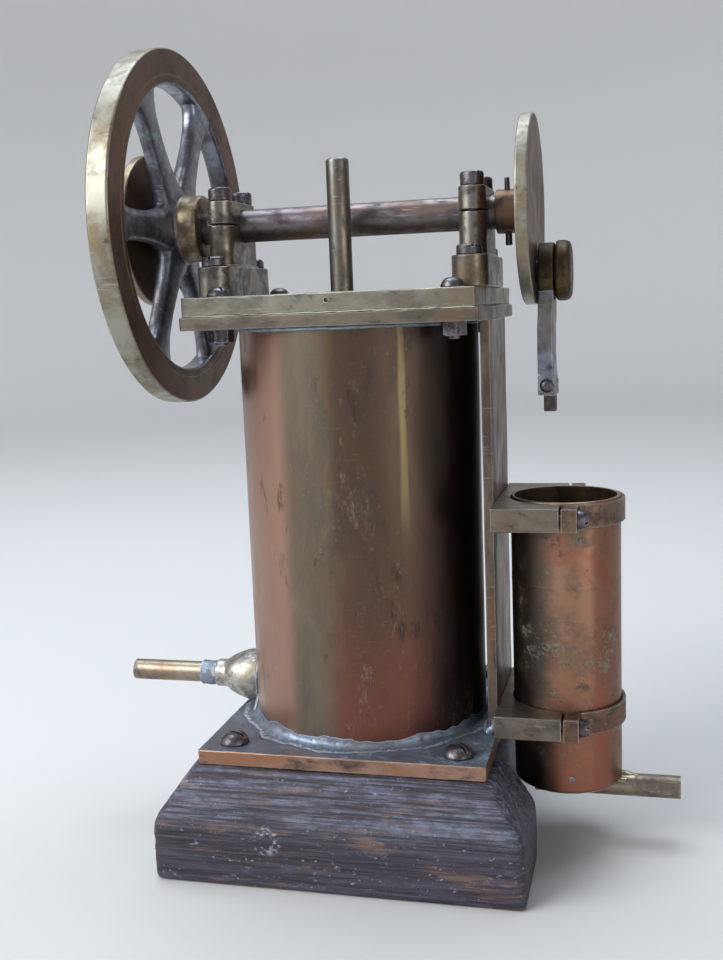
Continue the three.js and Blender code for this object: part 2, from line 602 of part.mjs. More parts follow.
const armHalf = linkThickness / 2;
const armOutline = new THREE.Shape();
armOutline.moveTo(-armHalf, -linkEyeRadius * 0.6);
armOutline.quadraticCurveTo(-armHalf - linkBow, -linkArmLength * 0.6, -linkBlockThickness / 2, linkBlockHeight - linkArmLength);
armOutline.lineTo(-linkBlockThickness / 2, -linkArmLength);
armOutline.lineTo(linkBlockThickness / 2, -linkArmLength);
armOutline.lineTo(linkBlockThickness / 2, linkBlockHeight - linkArmLength);
armOutline.quadraticCurveTo(armHalf - linkBow, -linkArmLength * 0.6, armHalf, -linkEyeRadius * 0.6);
armOutline.closePath();
const arm = new THREE.ExtrudeGeometry(armOutline, { depth: linkDepth, bevelEnabled: false, curveSegments: 6 })
  .rotateX(Math.PI / 2).translate(0, linkDepth / 2, 0);
const tongueY0 = linkDepth / 2 + seatGap;
const rivetZ = linkBlockHeight / 2 - linkArmLength;
place(linkGroup, 'link', cut(join(
  alongX(disc(linkEyeRadius, -armHalf, armHalf, facets.medium)), arm),
alongX(disc(crankPinRadius + runningGap, -armHalf - 1, armHalf + 1, facets.medium)),
at(disc(rivetRadius + seatGap, -linkDepth, linkDepth, facets.small).rotateX(Math.PI / 2), 0, 0, rivetZ)), wheelBrass);
place(linkGroup, 'link_tongue', cut(
  block(tongueOffset - tongueWidth / 2, tongueOffset + tongueWidth / 2, tongueY0, tongueY0 + tongueThickness,
    -linkArmLength - tongueDrop, tongueLength - linkArmLength - tongueDrop),
  at(disc(rivetRadius + seatGap, -linkDepth, linkDepth * 2, facets.small).rotateX(Math.PI / 2), 0, 0, rivetZ)), darkSteel);
place(linkGroup, 'link_rivet', turned([
  [0, -rivetHeadHeight], [rivetHeadRadius * 0.6, -rivetHeadHeight], [rivetHeadRadius, 0], [rivetRadius, 0],
  [rivetRadius, linkDepth + tongueThickness + 2 * seatGap], [rivetHeadRadius, linkDepth + tongueThickness + 2 * seatGap],
  [rivetHeadRadius * 0.6, linkDepth + tongueThickness + 2 * seatGap + rivetHeadHeight],
  [0, linkDepth + tongueThickness + 2 * seatGap + rivetHeadHeight]], facets.small)
  .rotateX(-Math.PI / 2).translate(0, -linkDepth / 2 - seatGap / 2, 0), darkSteel, 0, 0, rivetZ);

// ------------------------------------------------------------- sliding up and down
const rodGroup = new THREE.Group();
rodGroup.position.set(0, rodY, 0);
group.add(rodGroup);

const drumBottom = plateTop + drumRest;
const drumTop = flangeBottom - drumHeadroom - drumStroke;
const rodBottom = drumTop - drumTopThickness - drumNutHeight - rodBelowNut;
place(rodGroup, 'piston_rod', turned([[0, rodBottom], [rodRadius, rodBottom], [rodRadius, rodTop - 0.5],
  [rodRadius - 0.5, rodTop], [0, rodTop]], facets.medium), darkSteel);
const drumRadius = cylinderBore - drumGap;
place(rodGroup, 'displacer', cut(
  turned([[0, drumTop - drumTopThickness], [drumRadius - drumWall, drumTop - drumTopThickness],
    [drumRadius - drumWall, drumBottom], [drumRadius, drumBottom], [drumRadius, drumTop], [0, drumTop]], facets.large),
  at(disc(rodRadius + seatGap, drumTop - drumTopThickness - 1, drumTop + 1, facets.medium), 0, rodY, 0)),
tubeBrass, 0, -rodY, 0);
place(rodGroup, 'displacer_nut', hexNut(drumNutFlats, drumNutHeight, rodRadius + seatGap), darkSteel,
  0, 0, drumTop - drumTopThickness - drumNutHeight);

export default group;
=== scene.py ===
"""A model steam engine: its finishes, meshes and stage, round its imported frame.

Shapes are worked out in millimetres in the object's own frame, +Z up and +X
along the crankshaft towards the crank disc, and are written in metres. Every
finished piece sits at the origin with its place in its mesh.
"""

from __future__ import annotations

import logging
import math
from dataclasses import dataclass
from enum import Enum
from functools import cache
from typing import Any, Callable, Sequence, Union

import bmesh
import bpy
from mathutils import Matrix, Vector, noise

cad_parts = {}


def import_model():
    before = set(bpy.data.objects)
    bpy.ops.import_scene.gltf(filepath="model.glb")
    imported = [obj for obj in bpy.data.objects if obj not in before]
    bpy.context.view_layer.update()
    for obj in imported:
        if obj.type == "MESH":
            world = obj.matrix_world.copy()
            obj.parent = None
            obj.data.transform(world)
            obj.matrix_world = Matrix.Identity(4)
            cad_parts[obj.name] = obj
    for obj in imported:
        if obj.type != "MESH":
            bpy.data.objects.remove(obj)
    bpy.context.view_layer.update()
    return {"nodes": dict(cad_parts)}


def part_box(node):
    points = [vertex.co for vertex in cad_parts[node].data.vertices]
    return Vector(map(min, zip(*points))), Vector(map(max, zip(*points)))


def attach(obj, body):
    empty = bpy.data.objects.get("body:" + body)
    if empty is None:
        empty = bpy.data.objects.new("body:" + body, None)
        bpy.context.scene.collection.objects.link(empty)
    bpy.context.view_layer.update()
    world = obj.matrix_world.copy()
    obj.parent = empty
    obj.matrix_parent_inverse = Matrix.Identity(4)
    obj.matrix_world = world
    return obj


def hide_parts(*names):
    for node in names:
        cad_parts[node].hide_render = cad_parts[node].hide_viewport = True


LOG = logging.getLogger("engine")
MM = 0.001
FULL_TURN = 2 * math.pi
WANDER_SEED = 1
FRONT, REAR, LEFT, RIGHT = -1, 1, -1, 1

Colour = tuple[float, float, float]
Point = tuple[float, float]
Number = Union["Value", float]


# --------------------------------------------------------------------- sizes
@dataclass(frozen=True)
class Span:
    """A box in millimetres."""

    low: Vector
    high: Vector

    @classmethod
    def of(cls, *nodes: str) -> Span:
        """Measure the box of some CAD nodes.

        Args:
            nodes: The nodes' names.

        Returns:
            The smallest box that holds them all.
        """
        boxes = [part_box(node) for node in nodes]
        low = Vector([min(box[0][i] for box in boxes) for i in range(3)])
        high = Vector([max(box[1][i] for box in boxes) for i in range(3)])
        return cls(low / MM, high / MM)

    @property
    def centre(self) -> Vector:
        """The middle of the box."""
        return (self.low + self.high) / 2

    @property
    def size(self) -> Vector:
        """The box's three widths."""
        return self.high - self.low


# -------------------------------------------------------------- shader maths
class Value:
    """A number that varies over a surface, with Python's operators."""

    def __init__(self, shader: Shader, socket: bpy.types.NodeSocket) -> None:
        """Wrap an output socket of a shader's node."""
        self.shader = shader
        self.socket = socket

    def _maths(self, operation: str, *values: Number) -> Value:
        """Add a Math node on some values and return its result."""
        node = self.shader.add(
            "ShaderNodeMath", {"operation": operation}, dict(enumerate(values))
        )
        return Value(self.shader, node.outputs[0])

    def __add__(self, other: Number) -> Value:
        """Return the sum."""
        return self._maths("ADD", self, other)

    def __sub__(self, other: Number) -> Value:
        """Return the difference."""
        return self._maths("SUBTRACT", self, other)

    def __rsub__(self, other: Number) -> Value:
        """Return the difference from a number."""
        return self._maths("SUBTRACT", other, self)

    def __mul__(self, other: Number) -> Value:
        """Return the product."""
        return self._maths("MULTIPLY", self, other)

    def __truediv__(self, other: Number) -> Value:
        """Return the quotient."""
        return self._maths("DIVIDE", self, other)

    def above(self, low: float, high: float) -> Value:
        """Ease from 0 at low to 1 at high, either way round."""
        node = self.shader.add(
            "ShaderNodeMapRange",
            {"interpolation_type": "SMOOTHSTEP"},
            {"Value": self, "From Min": low, "From Max": high},
        )
        return Value(self.shader, node.outputs["Result"])

    def most(self, other: Number) -> Value:
        """Return the larger of the two."""
        return self._maths("MAXIMUM", self, other)

    __radd__ = __add__
    __rmul__ = __mul__


class Shader:
    """A material's node tree being written."""

    def __init__(self, name: str) -> None:
        """Start a material with a Principled shader.

        Args:
            name: The material's name.
        """
        self.material = bpy.data.materials.new(name)
        self.material.use_nodes = True
        self.tree = self.material.node_tree
        self.surface = self.tree.nodes["Principled BSDF"]
        self.place = self.add("ShaderNodeTexCoord", {}, {}).outputs["Object"]

    def add(
        self, kind: str, settings: dict[str, Any], inputs: dict[Any, Any]
    ) -> bpy.types.Node:
        """Add a node.

        Args:
            kind: The node's type.
            settings: Its own settings, set before its sockets.
            inputs: Values or links by socket name or number.

        Returns:
            The node.
        """
        node = self.tree.nodes.new(kind)
        for name, value in settings.items():
            if name == "stops":
                self._stops(node, value)
            else:
                setattr(node, name, value)
        for key, value in inputs.items():
            self.feed(node.inputs[key], value)
        return node

    def feed(self, socket: bpy.types.NodeSocket, value: Any) -> None:
        """Set a socket to a value, or link it to one."""
        if isinstance(value, Value):
            value = value.socket
        if isinstance(value, bpy.types.NodeSocket):
            self.tree.links.new(value, socket)
        elif isinstance(value, tuple) and socket.type == "RGBA":
            socket.default_value = (*value, 1.0)
        else:
            socket.default_value = value

    @staticmethod
    def _stops(node: bpy.types.Node, stops: Sequence[tuple[float, Colour]]) -> None:
        """Write a colour ramp's stops."""
        ramp = node.color_ramp
        while len(ramp.elements) < len(stops):
            ramp.elements.new(1.0)
        for element, (position, colour) in zip(ramp.elements, stops):
            element.position = position
            element.color = (*colour, 1.0)

    def stretched(
        self, x: float, y: float, z: float, turn: Sequence[float] = (0, 0, 0)
    ) -> bpy.types.NodeSocket:
        """Give the place on the object in millimetres, stretched.

        Args:
            x: Cycles per millimetre along X, and so on.
            y: Along Y.
            z: Along Z.
            turn: The pattern's turn, in radians.

        Returns:
            The vector socket.
        """
        node = self.add(
            "ShaderNodeMapping",
            {},
            {
                "Vector": self.place,
                "Scale": (x / MM, y / MM, z / MM),
                "Rotation": tuple(turn),
            },
        )
        return node.outputs[0]

    def noise(
        self,
        vector: bpy.types.NodeSocket,
        detail: float = 4,
        rough: float = 0.55,
        warp: float = 0,
    ) -> Value:
        """Return fractal noise, from 0 to 1, at a vector."""
        node = self.add(
            "ShaderNodeTexNoise",
            {},
            {
                "Vector": vector,
                "Scale": 1.0,
                "Detail": detail,
                "Roughness": rough,
                "Distortion": warp,
            },
        )
        return Value(self, node.outputs[0])

    def height(self) -> Value:
        """Return the height over the surface it stands on, in millimetres."""
        node = self.add("ShaderNodeSeparateXYZ", {}, {0: self.place})
        return Value(self, node.outputs[2]) / MM

    def facing(self, x: float, y: float, radius: float, bearing: float) -> Value:
        """Return how far the place round an upright axis faces a bearing.

        Args:
            x: The axis's place along X, in millimetres.
            y: Its place along Y.
            radius: The surface's distance from it.
            bearing: The bearing in degrees from +X towards +Y.

        Returns:
            The cosine of the angle between the two.
        """
        node = self.add("ShaderNodeSeparateXYZ", {}, {0: self.place})
        across, along = (Value(self, node.outputs[i]) / MM for i in (0, 1))
        turn = math.radians(bearing)
        share = (across - x) * math.cos(turn) + (along - y) * math.sin(turn)
        return share / radius

    def distance(self, point: Sequence[float]) -> Value:
        """Return the distance from a point, both in millimetres."""
        node = self.add(
            "ShaderNodeVectorMath",
            {"operation": "DISTANCE"},
            {0: self.place, 1: tuple(c * MM for c in point)},
        )
        return Value(self, node.outputs["Value"]) / MM

    def edges(self, radius: float) -> Value:
        """Return a mask of the shape's edges, 1 on a sharp edge.

        Args:
            radius: The mask's width in millimetres.

        Returns:
            The mask.
        """
        soft = self.add(
            "ShaderNodeBevel", {"samples": 4}, {"Radius": radius * MM}
        ).outputs[0]
        flat = self.add("ShaderNodeNewGeometry", {}, {}).outputs["Normal"]
        dot = self.add(
            "ShaderNodeVectorMath", {"operation": "DOT_PRODUCT"}, {0: soft, 1: flat}
        )
        return Value(self, dot.outputs["Value"]).above(0.995, 0.9)

    def mix(self, below: Any, above: Any, share: Number) -> bpy.types.NodeSocket:
        """Lay one colour over another by a share."""
        node = self.add("ShaderNodeMix", {"data_type": "RGBA"}, {0: share})
        self.feed(node.inputs[6], below)
        self.feed(node.inputs[7], above)
        return node.outputs[2]

    def ramp(
        self, value: Value, *stops: tuple[float, Colour]
    ) -> bpy.types.NodeSocket:
        """Turn a value into a colour by its stops."""
        node = self.add("ShaderNodeValToRGB", {"stops": stops}, {0: value})
        return node.outputs[0]

    def bump(self, height: Value, depth: float) -> None:
        """Raise the surface by a height.

        Args:
            height: The relief, from 0 to 1.
            depth: Its depth in millimetres.
        """
        node = self.add("ShaderNodeBump", {}, {"Height": height, "Distance": depth * MM})
        self.feed(self.surface.inputs["Normal"], node.outputs[0])

    def finish(self, **inputs: Any) -> bpy.types.Material:
        """Feed the surface's sockets, with _ for a space, and return it."""
        for name, value in inputs.items():
            self.feed(self.surface.inputs[name.replace("_", " ").title()], value)
        return self.material


# ------------------------------------------------------------------ finishes
@dataclass(frozen=True)
class OldMetal:
    """A metal under patina, blotched, rubbed bright at its edges, scratched.

    Attributes:
        name: The material's name.
        base: The cleaner colour.
        patina: The colour of the tarnish.
        warm: The colour of its warmer patches.
        rubbed: The colour where hands and tools have rubbed it.
        cover: How far the tarnish reaches, from 0 to 1.
        gloss: Roughness of the smoothest parts.
        patch: Patches per millimetre.
        grain: How far the marks are squeezed along X, Y and Z.
        pits: Depth of the pitting in millimetres.
        bloom: Share of the surface under a dull bloom.
        bloom_colour: The bloom's colour.
        edge: Width of the rubbed edges in millimetres.
        metallic: How metallic the cleaner parts are.
        soft: How softly the tarnish ends.
        coat: Weight of the oily film over it.
        scratches: Strength of the hair scratches.
    """

    name: str
    base: Colour
    patina: Colour
    warm: Colour
    rubbed: Colour
    cover: float = 0.5
    gloss: float = 0.3
    patch: float = 0.08
    grain: tuple[float, float, float] = (1, 1, 1)
    pits: float = 0.05
    bloom: float = 0.0
    bloom_colour: Colour = (0.2, 0.3, 0.22)
    edge: float = 0.5
    metallic: float = 0.95
    soft: float = 0.065
    coat: float = 0.0
    scratches: float = 0.3

    def tint(self, shader: Shader, colour: Any, broad: Value, small: Value) -> Any:
        """Lay what is special to one piece over the colour."""
        return colour

    def build(self) -> bpy.types.Material:
        """Build the material.

        Returns:
            The material.
        """
        shader = Shader(self.name)
        scaled = [self.patch * share for share in self.grain]
        broad = shader.noise(shader.stretched(*scaled), 5, 0.6, 0.5)
        small = shader.noise(
            shader.stretched(*(3.4 * s for s in scaled), (0.7, 0.2, 1.1)), 6, 0.68, 0.3)
        fine = shader.noise(shader.stretched(*(1.3 * s for s in self.grain)), 5, 0.7)
        middle = 0.66 - 0.32 * self.cover
        tarnish = (broad * 0.55 + small * 0.45).above(middle - self.soft, middle + self.soft)
        colour = shader.mix(self.base, self.patina, tarnish * 0.9)
        warm = shader.noise(
            shader.stretched(*(0.8 * s for s in scaled), (1.9, 0.4, 0.3)), 4, 0.6, 0.6)
        colour = shader.mix(colour, self.warm, warm.above(0.5, 0.6) * 0.6)
        colour = self.tint(shader, colour, broad, small)
        colour = shader.mix(
            colour, tuple(c * 0.3 for c in self.patina), small.above(0.6, 0.68) * 0.6)
        hair = shader.noise(shader.stretched(0.12, 1.5, 1.5, (0.3, 0.5, 0.9)), 2, 0.5)
        hair = hair.above(0.64, 0.7) * broad.above(0.45, 0.58)
        rub = shader.edges(self.edge) * fine.above(0.3, 0.55)
        colour = shader.mix(colour, self.rubbed, rub * 0.85)
        colour = shader.mix(colour, self.rubbed, hair * self.scratches)
        metallic: Number = self.metallic - tarnish * 0.2
        if self.bloom:
            bloom = (broad * 0.4 + fine * 0.3 + small * 0.3).above(
                0.62 - self.bloom * 0.3, 0.72 - self.bloom * 0.3)
            colour = shader.mix(colour, self.bloom_colour, bloom * 0.75)
            metallic = metallic * (1 - bloom * 0.6)
        rough = self.gloss + tarnish * 0.14 + fine * 0.14 - rub * 0.08
        shader.bump(fine * 0.55 + small * 0.45 - hair * 0.2, self.pits)
        return shader.finish(
            base_color=colour, metallic=metallic, roughness=rough,
            coat_weight=self.coat, coat_roughness=0.22)


@dataclass(frozen=True)
class BrownedTube(OldMetal):
    """The tarnish of a heated upright tube, with painted light and shade, darkest towards one
    side.

    Attributes:
        axis: The tube's place along X and Y, in millimetres.
        radius: Its radius.
        soot_and_shade: The colour of its dark side: soot, with painted shade over it.
        soot_and_shade_bearing: Where that side faces, in degrees from +X.
        soot_and_shade_reach: Cosines at which the soot and painted shade start and are full.
        low: The colour of its lower part: a painted warm reflection.
        low_level: Heights at which that is full and has gone.
        low_bearing: The side where it is strongest.
        painted_light_bands: Upright bands of painted reflection and painted shade, each
        with its bearing, half its width in degrees, its colour and its strength.
        highlight_streak_bearing: Where a painted highlight streak runs down it.
        highlight_streak: The painted highlight's colour.
    """

    axis: Point = (0.0, 0.0)
    radius: float = 30.0
    soot_and_shade: Colour = (0.018, 0.012, 0.01)
    soot_and_shade_bearing: float = -12.0
    soot_and_shade_reach: Point = (0.66, 0.92)
    low: Colour = (0.2, 0.075, 0.05)
    low_level: Point = (60.0, 120.0)
    low_bearing: float = -62.0
    painted_light_bands: tuple[tuple[float, float, Colour, float], ...] = ()
    highlight_streak_bearing: float = -57.6
    highlight_streak: Colour = (0.34, 0.27, 0.11)

    def tint(self, shader: Shader, colour: Any, broad: Value, small: Value) -> Any:
        """Lay on the painted reflection bands, the painted warm reflection at the foot, the
        painted highlight streak, the soot with painted shade, and the worn spots.
        """
        height = shader.height()
        # Upright bands of painted reflection and painted shade round the tube.
        for bearing, half, tone, share in self.painted_light_bands:
            at_painted_band = shader.facing(*self.axis, self.radius, bearing) + (small - 0.5) * 0.08
            soft, hard = (math.cos(math.radians(half + d)) for d in (5, -5))
            colour = shader.mix(colour, tone, at_painted_band.above(soft, hard) * share)
        # A painted warm reflection on the lower front, its top edge wandering.
        wander = broad * 46 + small * 14
        low = (height + wander).above(self.low_level[1], self.low_level[0])
        front = shader.facing(*self.axis, self.radius, self.low_bearing)
        low = low * front.above(0.78, 0.92)
        colour = shader.mix(colour, self.low, low * 0.8)
        speckle = shader.noise(shader.stretched(0.55, 0.55, 0.3), 5, 0.7)
        spots = speckle.above(0.57, 0.68) * (small + broad).above(0.98, 1.12)
        colour = shader.mix(colour, self.rubbed, spots * 0.17)
        # A painted highlight: a thin pale streak down the upper part.
        at_highlight_streak = shader.facing(*self.axis, self.radius, self.highlight_streak_bearing)
        highlight_streak = at_highlight_streak.above(0.9991, 0.9999) * height.above(84.0, 104.0)
        colour = shader.mix(colour, self.highlight_streak, highlight_streak * (0.1 + small * 0.6))
        # The dark side: soot, with painted shade over it.
        side = shader.facing(*self.axis, self.radius, self.soot_and_shade_bearing) + broad * 0.3 - 0.15
        return shader.mix(colour, self.soot_and_shade, side.above(*self.soot_and_shade_reach) * 0.93)


@dataclass(frozen=True)
class BlackWood:
    """Ebonised wood with a plain grain along X, rubbed and chipped, with a painted bluish sheen
    strongest on its sloping top.
    """

    name: str = "black_wood"
    dark: Colour = (0.007, 0.005, 0.009)
    middle: Colour = (0.034, 0.026, 0.04)
    # Colour of the painted bluish sheen on the grain.
    painted_sheen: Colour = (0.15, 0.165, 0.235)
    worn: Colour = (0.15, 0.088, 0.066)
    pale: Colour = (0.27, 0.2, 0.17)
    chip: Colour = (0.46, 0.45, 0.55)
    knot: tuple[float, float, float] = (-17.0, -48.2, 13.0)
    knot_radius: float = 2.7

    def build(self) -> bpy.types.Material:
        """Build the material.

        Returns:
            The material.
        """
        shader = Shader(self.name)
        grain = shader.noise(shader.stretched(0.02, 0.5, 0.5), 8, 0.75, 0.25)
        fibre = shader.noise(shader.stretched(0.06, 1.7, 1.7), 5, 0.65)
        broad = shader.noise(shader.stretched(0.035, 0.08, 0.08), 4, 0.6, 0.6)
        mottle = shader.noise(shader.stretched(0.22, 0.42, 0.42), 7, 0.75, 0.3)
        colour = shader.ramp(
            grain * 0.65 + fibre * 0.35,
            (0.38, self.dark), (0.54, self.middle), (0.66, tuple(c * 1.9 for c in self.middle)))
        # Painted sheen: a bluish reflection laid along the grain lines, strongest on the sloping
        # top and weaker on the upright sides.
        slope = shader.height().above(14.0, 19.0)
        lines = (fibre * 0.5 + grain * 0.5).above(0.44, 0.58)
        painted_sheen = (slope * 0.75 + 0.2) * lines * (0.25 + mottle.above(0.4, 0.58) * 0.7)
        colour = shader.mix(colour, self.painted_sheen, painted_sheen)
        tan = shader.noise(shader.stretched(0.045, 0.24, 0.24, (0.2, 0, 0)), 6, 0.72, 0.4)
        tan = tan.above(0.54, 0.64) * (0.25 + grain.above(0.44, 0.58) * 0.75)
        colour = shader.mix(colour, self.worn, tan * 0.9)
        # Pale flecks on the worn tan grain, lighter on the sloping top: worn wood, with painted
        # light on the top.
        colour = shader.mix(
            colour, self.pale, tan * mottle.above(0.52, 0.62) * (0.3 + slope * 0.4))
        rub = shader.edges(1.3) * mottle.above(0.42, 0.55)
        colour = shader.mix(colour, self.pale, rub * 0.6)
        crumb = shader.noise(shader.stretched(0.6, 1.0, 1.0, (0.4, 0, 0)), 5, 0.7)
        flake = crumb.above(0.61, 0.67) * broad.above(0.4, 0.54)
        scuff = mottle.above(0.6, 0.67) * crumb.above(0.42, 0.55)
        away = shader.distance(self.knot) - self.knot_radius + mottle * 3.4 - 1.7
        knot = (away * away).above(1.9, 0.1) * crumb.above(0.47, 0.56)
        marks = flake.most(scuff * 0.8).most(knot * 0.85)
        colour = shader.mix(colour, self.chip, marks * 0.75)
        shader.bump(grain * 0.6 + fibre * 0.4 - marks * 0.3, 0.6)
        rough = 0.42 + mottle * 0.25 + marks * 0.2
        return shader.finish(base_color=colour, roughness=rough)


@dataclass(frozen=True)
class Card:
    """Pale oiled gasket card."""

    name: str = "gasket_card"
    clean: Colour = (0.5, 0.52, 0.47)
    oiled: Colour = (0.2, 0.19, 0.13)

    def build(self) -> bpy.types.Material:
        """Build the material."""
        shader = Shader(self.name)
        fibre = shader.noise(shader.stretched(0.3, 0.3, 2.0), 4, 0.6)
        shader.bump(fibre, 0.08)
        colour = shader.mix(self.clean, self.oiled, fibre.above(0.45, 0.6))
        return shader.finish(base_color=colour, roughness=0.75)


@dataclass(frozen=True)
class PaleFloor:
    """The plain pale sweep that the object stands on.

    Attributes:
        near: Its tone under the lights.
        far: Its tone where less light falls.
        reach: Distances in millimetres at which those start and end.
    """

    name: str = "pale_floor"
    near: Colour = (0.55, 0.547, 0.54)
    far: Colour = (0.9, 0.9, 0.895)
    reach: Point = (600.0, 2100.0)

    def build(self) -> bpy.types.Material:
        """Build the material."""
        shader = Shader(self.name)
        out = shader.distance((0, 0, 0)).above(*self.reach)
        return shader.finish(base_color=shader.mix(self.near, self.far, out), roughness=0.9)


class Finish(Enum):
    """The finishes, each with the record's slot and its recipe."""

    WOOD = ("black_wood", BlackWood())
    PLATE = ("plate_brass", OldMetal(
        "plate_brass", (0.27, 0.248, 0.2), (0.12, 0.108, 0.083), (0.19, 0.14, 0.09),
        (0.6, 0.57, 0.48), cover=0.42, gloss=0.3, grain=(0.5, 1, 1), pits=0.06, soft=0.1))
    FLANGE = ("plate_brass", OldMetal(
        "flange_brass", (0.2, 0.172, 0.135), (0.085, 0.07, 0.055), (0.16, 0.1, 0.065),
        (0.5, 0.46, 0.38), cover=0.45, gloss=0.3, grain=(0.5, 1, 1), pits=0.06, soft=0.1))
    BEARING = ("plate_brass", OldMetal(
        "bearing_brass", (0.22, 0.2, 0.165), (0.065, 0.058, 0.055), (0.16, 0.11, 0.055),
        (0.55, 0.55, 0.52), cover=0.5, gloss=0.26, patch=0.12, pits=0.06, coat=0.15))
    # The base plate's top: a dull bloom, tinted blue as a painted reflection of cool light from
    # above.
    BASE_TOP_BLOOM_AND_REFLECTION = ("plate_brass", OldMetal(
        "base_plate_top_bloom_and_reflection", (0.2, 0.235, 0.29), (0.085, 0.1, 0.13), (0.15, 0.12, 0.12),
        (0.45, 0.44, 0.42), cover=0.45, gloss=0.36, bloom=0.4,
        bloom_colour=(0.25, 0.32, 0.41), metallic=0.75, soft=0.1))
    BASE_EDGE = ("plate_brass", OldMetal(
        "base_plate_edge", (0.36, 0.21, 0.15), (0.13, 0.085, 0.07), (0.31, 0.135, 0.07),
        (0.8, 0.6, 0.4), cover=0.4, gloss=0.3, grain=(0.5, 1, 1)))
    STRIP = ("plate_brass", OldMetal(
        "strip_brass", (0.2, 0.15, 0.115), (0.07, 0.052, 0.045), (0.19, 0.1, 0.06),
        (0.5, 0.42, 0.34), cover=0.5, gloss=0.3, grain=(1, 1, 0.4), soft=0.1))
    TUBE = ("tube_brass", BrownedTube(
        "tube_brass", (0.215, 0.16, 0.11), (0.08, 0.06, 0.042), (0.18, 0.11, 0.055),
        (0.46, 0.4, 0.33), cover=0.48, gloss=0.24, patch=0.045, grain=(1, 1, 0.35),
        pits=0.03, bloom=0.2, bloom_colour=(0.17, 0.16, 0.14), radius=32.6, soft=0.11,
        # low: a painted warm reflection on the lower front.
        scratches=0.06, low=(0.19, 0.062, 0.042), low_level=(66.0, 122.0),
        # Painted reflection and shade bands: a pale one to the front left, dark ones at the front
        # and to the front right.
        painted_light_bands=((-137.0, 23.0, (0.38, 0.21, 0.16), 0.65),
               (-102.5, 11.0, (0.095, 0.085, 0.07), 0.45),
               (-60.0, 30.0, (0.07, 0.042, 0.032), 0.66))))
    BARREL = ("tube_brass", BrownedTube(
        "barrel_brass", (0.34, 0.195, 0.125), (0.14, 0.088, 0.06), (0.34, 0.125, 0.075),
        (0.6, 0.48, 0.36), cover=0.42, gloss=0.3, patch=0.06, bloom=0.3,
        bloom_colour=(0.2, 0.2, 0.14), pits=0.04, axis=(55.6, -3.3), radius=14.4,
        # Its dark side, towards the main cylinder: soot with painted shade over it.
        soot_and_shade_bearing=-155.0, soot_and_shade_reach=(0.45, 0.8), soot_and_shade=(0.04, 0.036, 0.03),
        # low: a painted warm reflection on the lower front.
        low=(0.26, 0.09, 0.055), low_level=(40.0, 110.0), low_bearing=-70.0,
        # A painted highlight streak at the front.
        highlight_streak_bearing=-96.0, highlight_streak=(0.5, 0.34, 0.22), soft=0.1, scratches=0.1,
        # A painted shade band towards the right front.
        painted_light_bands=((-28.0, 30.0, (0.16, 0.055, 0.038), 0.6),)))
    STRAP = ("plate_brass", OldMetal(
        "strap_brass", (0.18, 0.12, 0.085), (0.075, 0.052, 0.042), (0.16, 0.08, 0.05),
        (0.5, 0.46, 0.38), cover=0.45, gloss=0.32, patch=0.12))
    BAND = ("wheel_brass", OldMetal(
        "wheel_band_brass", (0.31, 0.295, 0.24), (0.14, 0.12, 0.08), (0.22, 0.155, 0.085),
        (0.55, 0.53, 0.46), cover=0.4, gloss=0.34, patch=0.06, pits=0.04, soft=0.1))
    # Wheel brass: a dull cast patina of its own, kept dark red-brown partly as a painted
    # reflection of a dark red surround.
    WHEEL = ("wheel_brass", OldMetal(
        "wheel_brass", (0.14, 0.083, 0.053), (0.065, 0.042, 0.03), (0.125, 0.06, 0.038),
        (0.4, 0.3, 0.18), cover=0.42, gloss=0.34, patch=0.05, pits=0.04, soft=0.13))
    HUB = ("wheel_brass", OldMetal(
        "hub_brass", (0.25, 0.2, 0.13), (0.09, 0.07, 0.05), (0.2, 0.13, 0.07),
        (0.46, 0.42, 0.32), cover=0.45, gloss=0.3, patch=0.12, soft=0.1))
    # Spoke brass: dark tarnish of its own, with its base and rubbed colours tinted blue as a
    # painted reflection of cool light.
    SPOKES = ("wheel_brass", OldMetal(
        "spoke_brass", (0.19, 0.215, 0.265), (0.034, 0.027, 0.032), (0.075, 0.054, 0.058),
        (0.52, 0.6, 0.72), cover=0.54, gloss=0.22, patch=0.075, pits=0.1, metallic=0.85,
        soft=0.09, coat=0.6))
    STEEL = ("dark_steel", OldMetal(
        "dark_steel", (0.14, 0.128, 0.145), (0.04, 0.032, 0.034), (0.1, 0.06, 0.042),
        (0.5, 0.52, 0.6), cover=0.5, gloss=0.27, patch=0.25, pits=0.08, edge=0.35,
        coat=0.3))
    SHAFT = ("shaft_steel", OldMetal(
        "shaft_steel", (0.16, 0.14, 0.145), (0.07, 0.055, 0.06), (0.16, 0.1, 0.075),
        (0.55, 0.55, 0.56), cover=0.42, gloss=0.3, patch=0.12, grain=(0.5, 1, 1)))
    ROD = ("dark_steel", OldMetal(
        "rod_steel", (0.2, 0.19, 0.165), (0.08, 0.075, 0.065), (0.15, 0.12, 0.09),
        (0.5, 0.48, 0.42), cover=0.42, gloss=0.28, patch=0.14, grain=(1, 1, 0.4)))
    LINK = ("wheel_brass", OldMetal(
        "link_brass", (0.26, 0.28, 0.34), (0.07, 0.062, 0.07), (0.16, 0.13, 0.08),
        (0.55, 0.58, 0.64), cover=0.45, gloss=0.3, patch=0.1, pits=0.06, soft=0.1))
    KNOB = ("dark_steel", OldMetal(
        "knob_brass", (0.085, 0.06, 0.028), (0.028, 0.02, 0.014), (0.1, 0.065, 0.024),
        (0.36, 0.29, 0.14), cover=0.55, gloss=0.36, patch=0.1, soft=0.1))
    SOLDER = ("solder", OldMetal(
        "soft_solder", (0.27, 0.32, 0.4), (0.1, 0.115, 0.145), (0.2, 0.2, 0.21),
        (0.62, 0.68, 0.78), cover=0.5, gloss=0.38, patch=0.16, pits=0.16,
        metallic=0.8, soft=0.1))
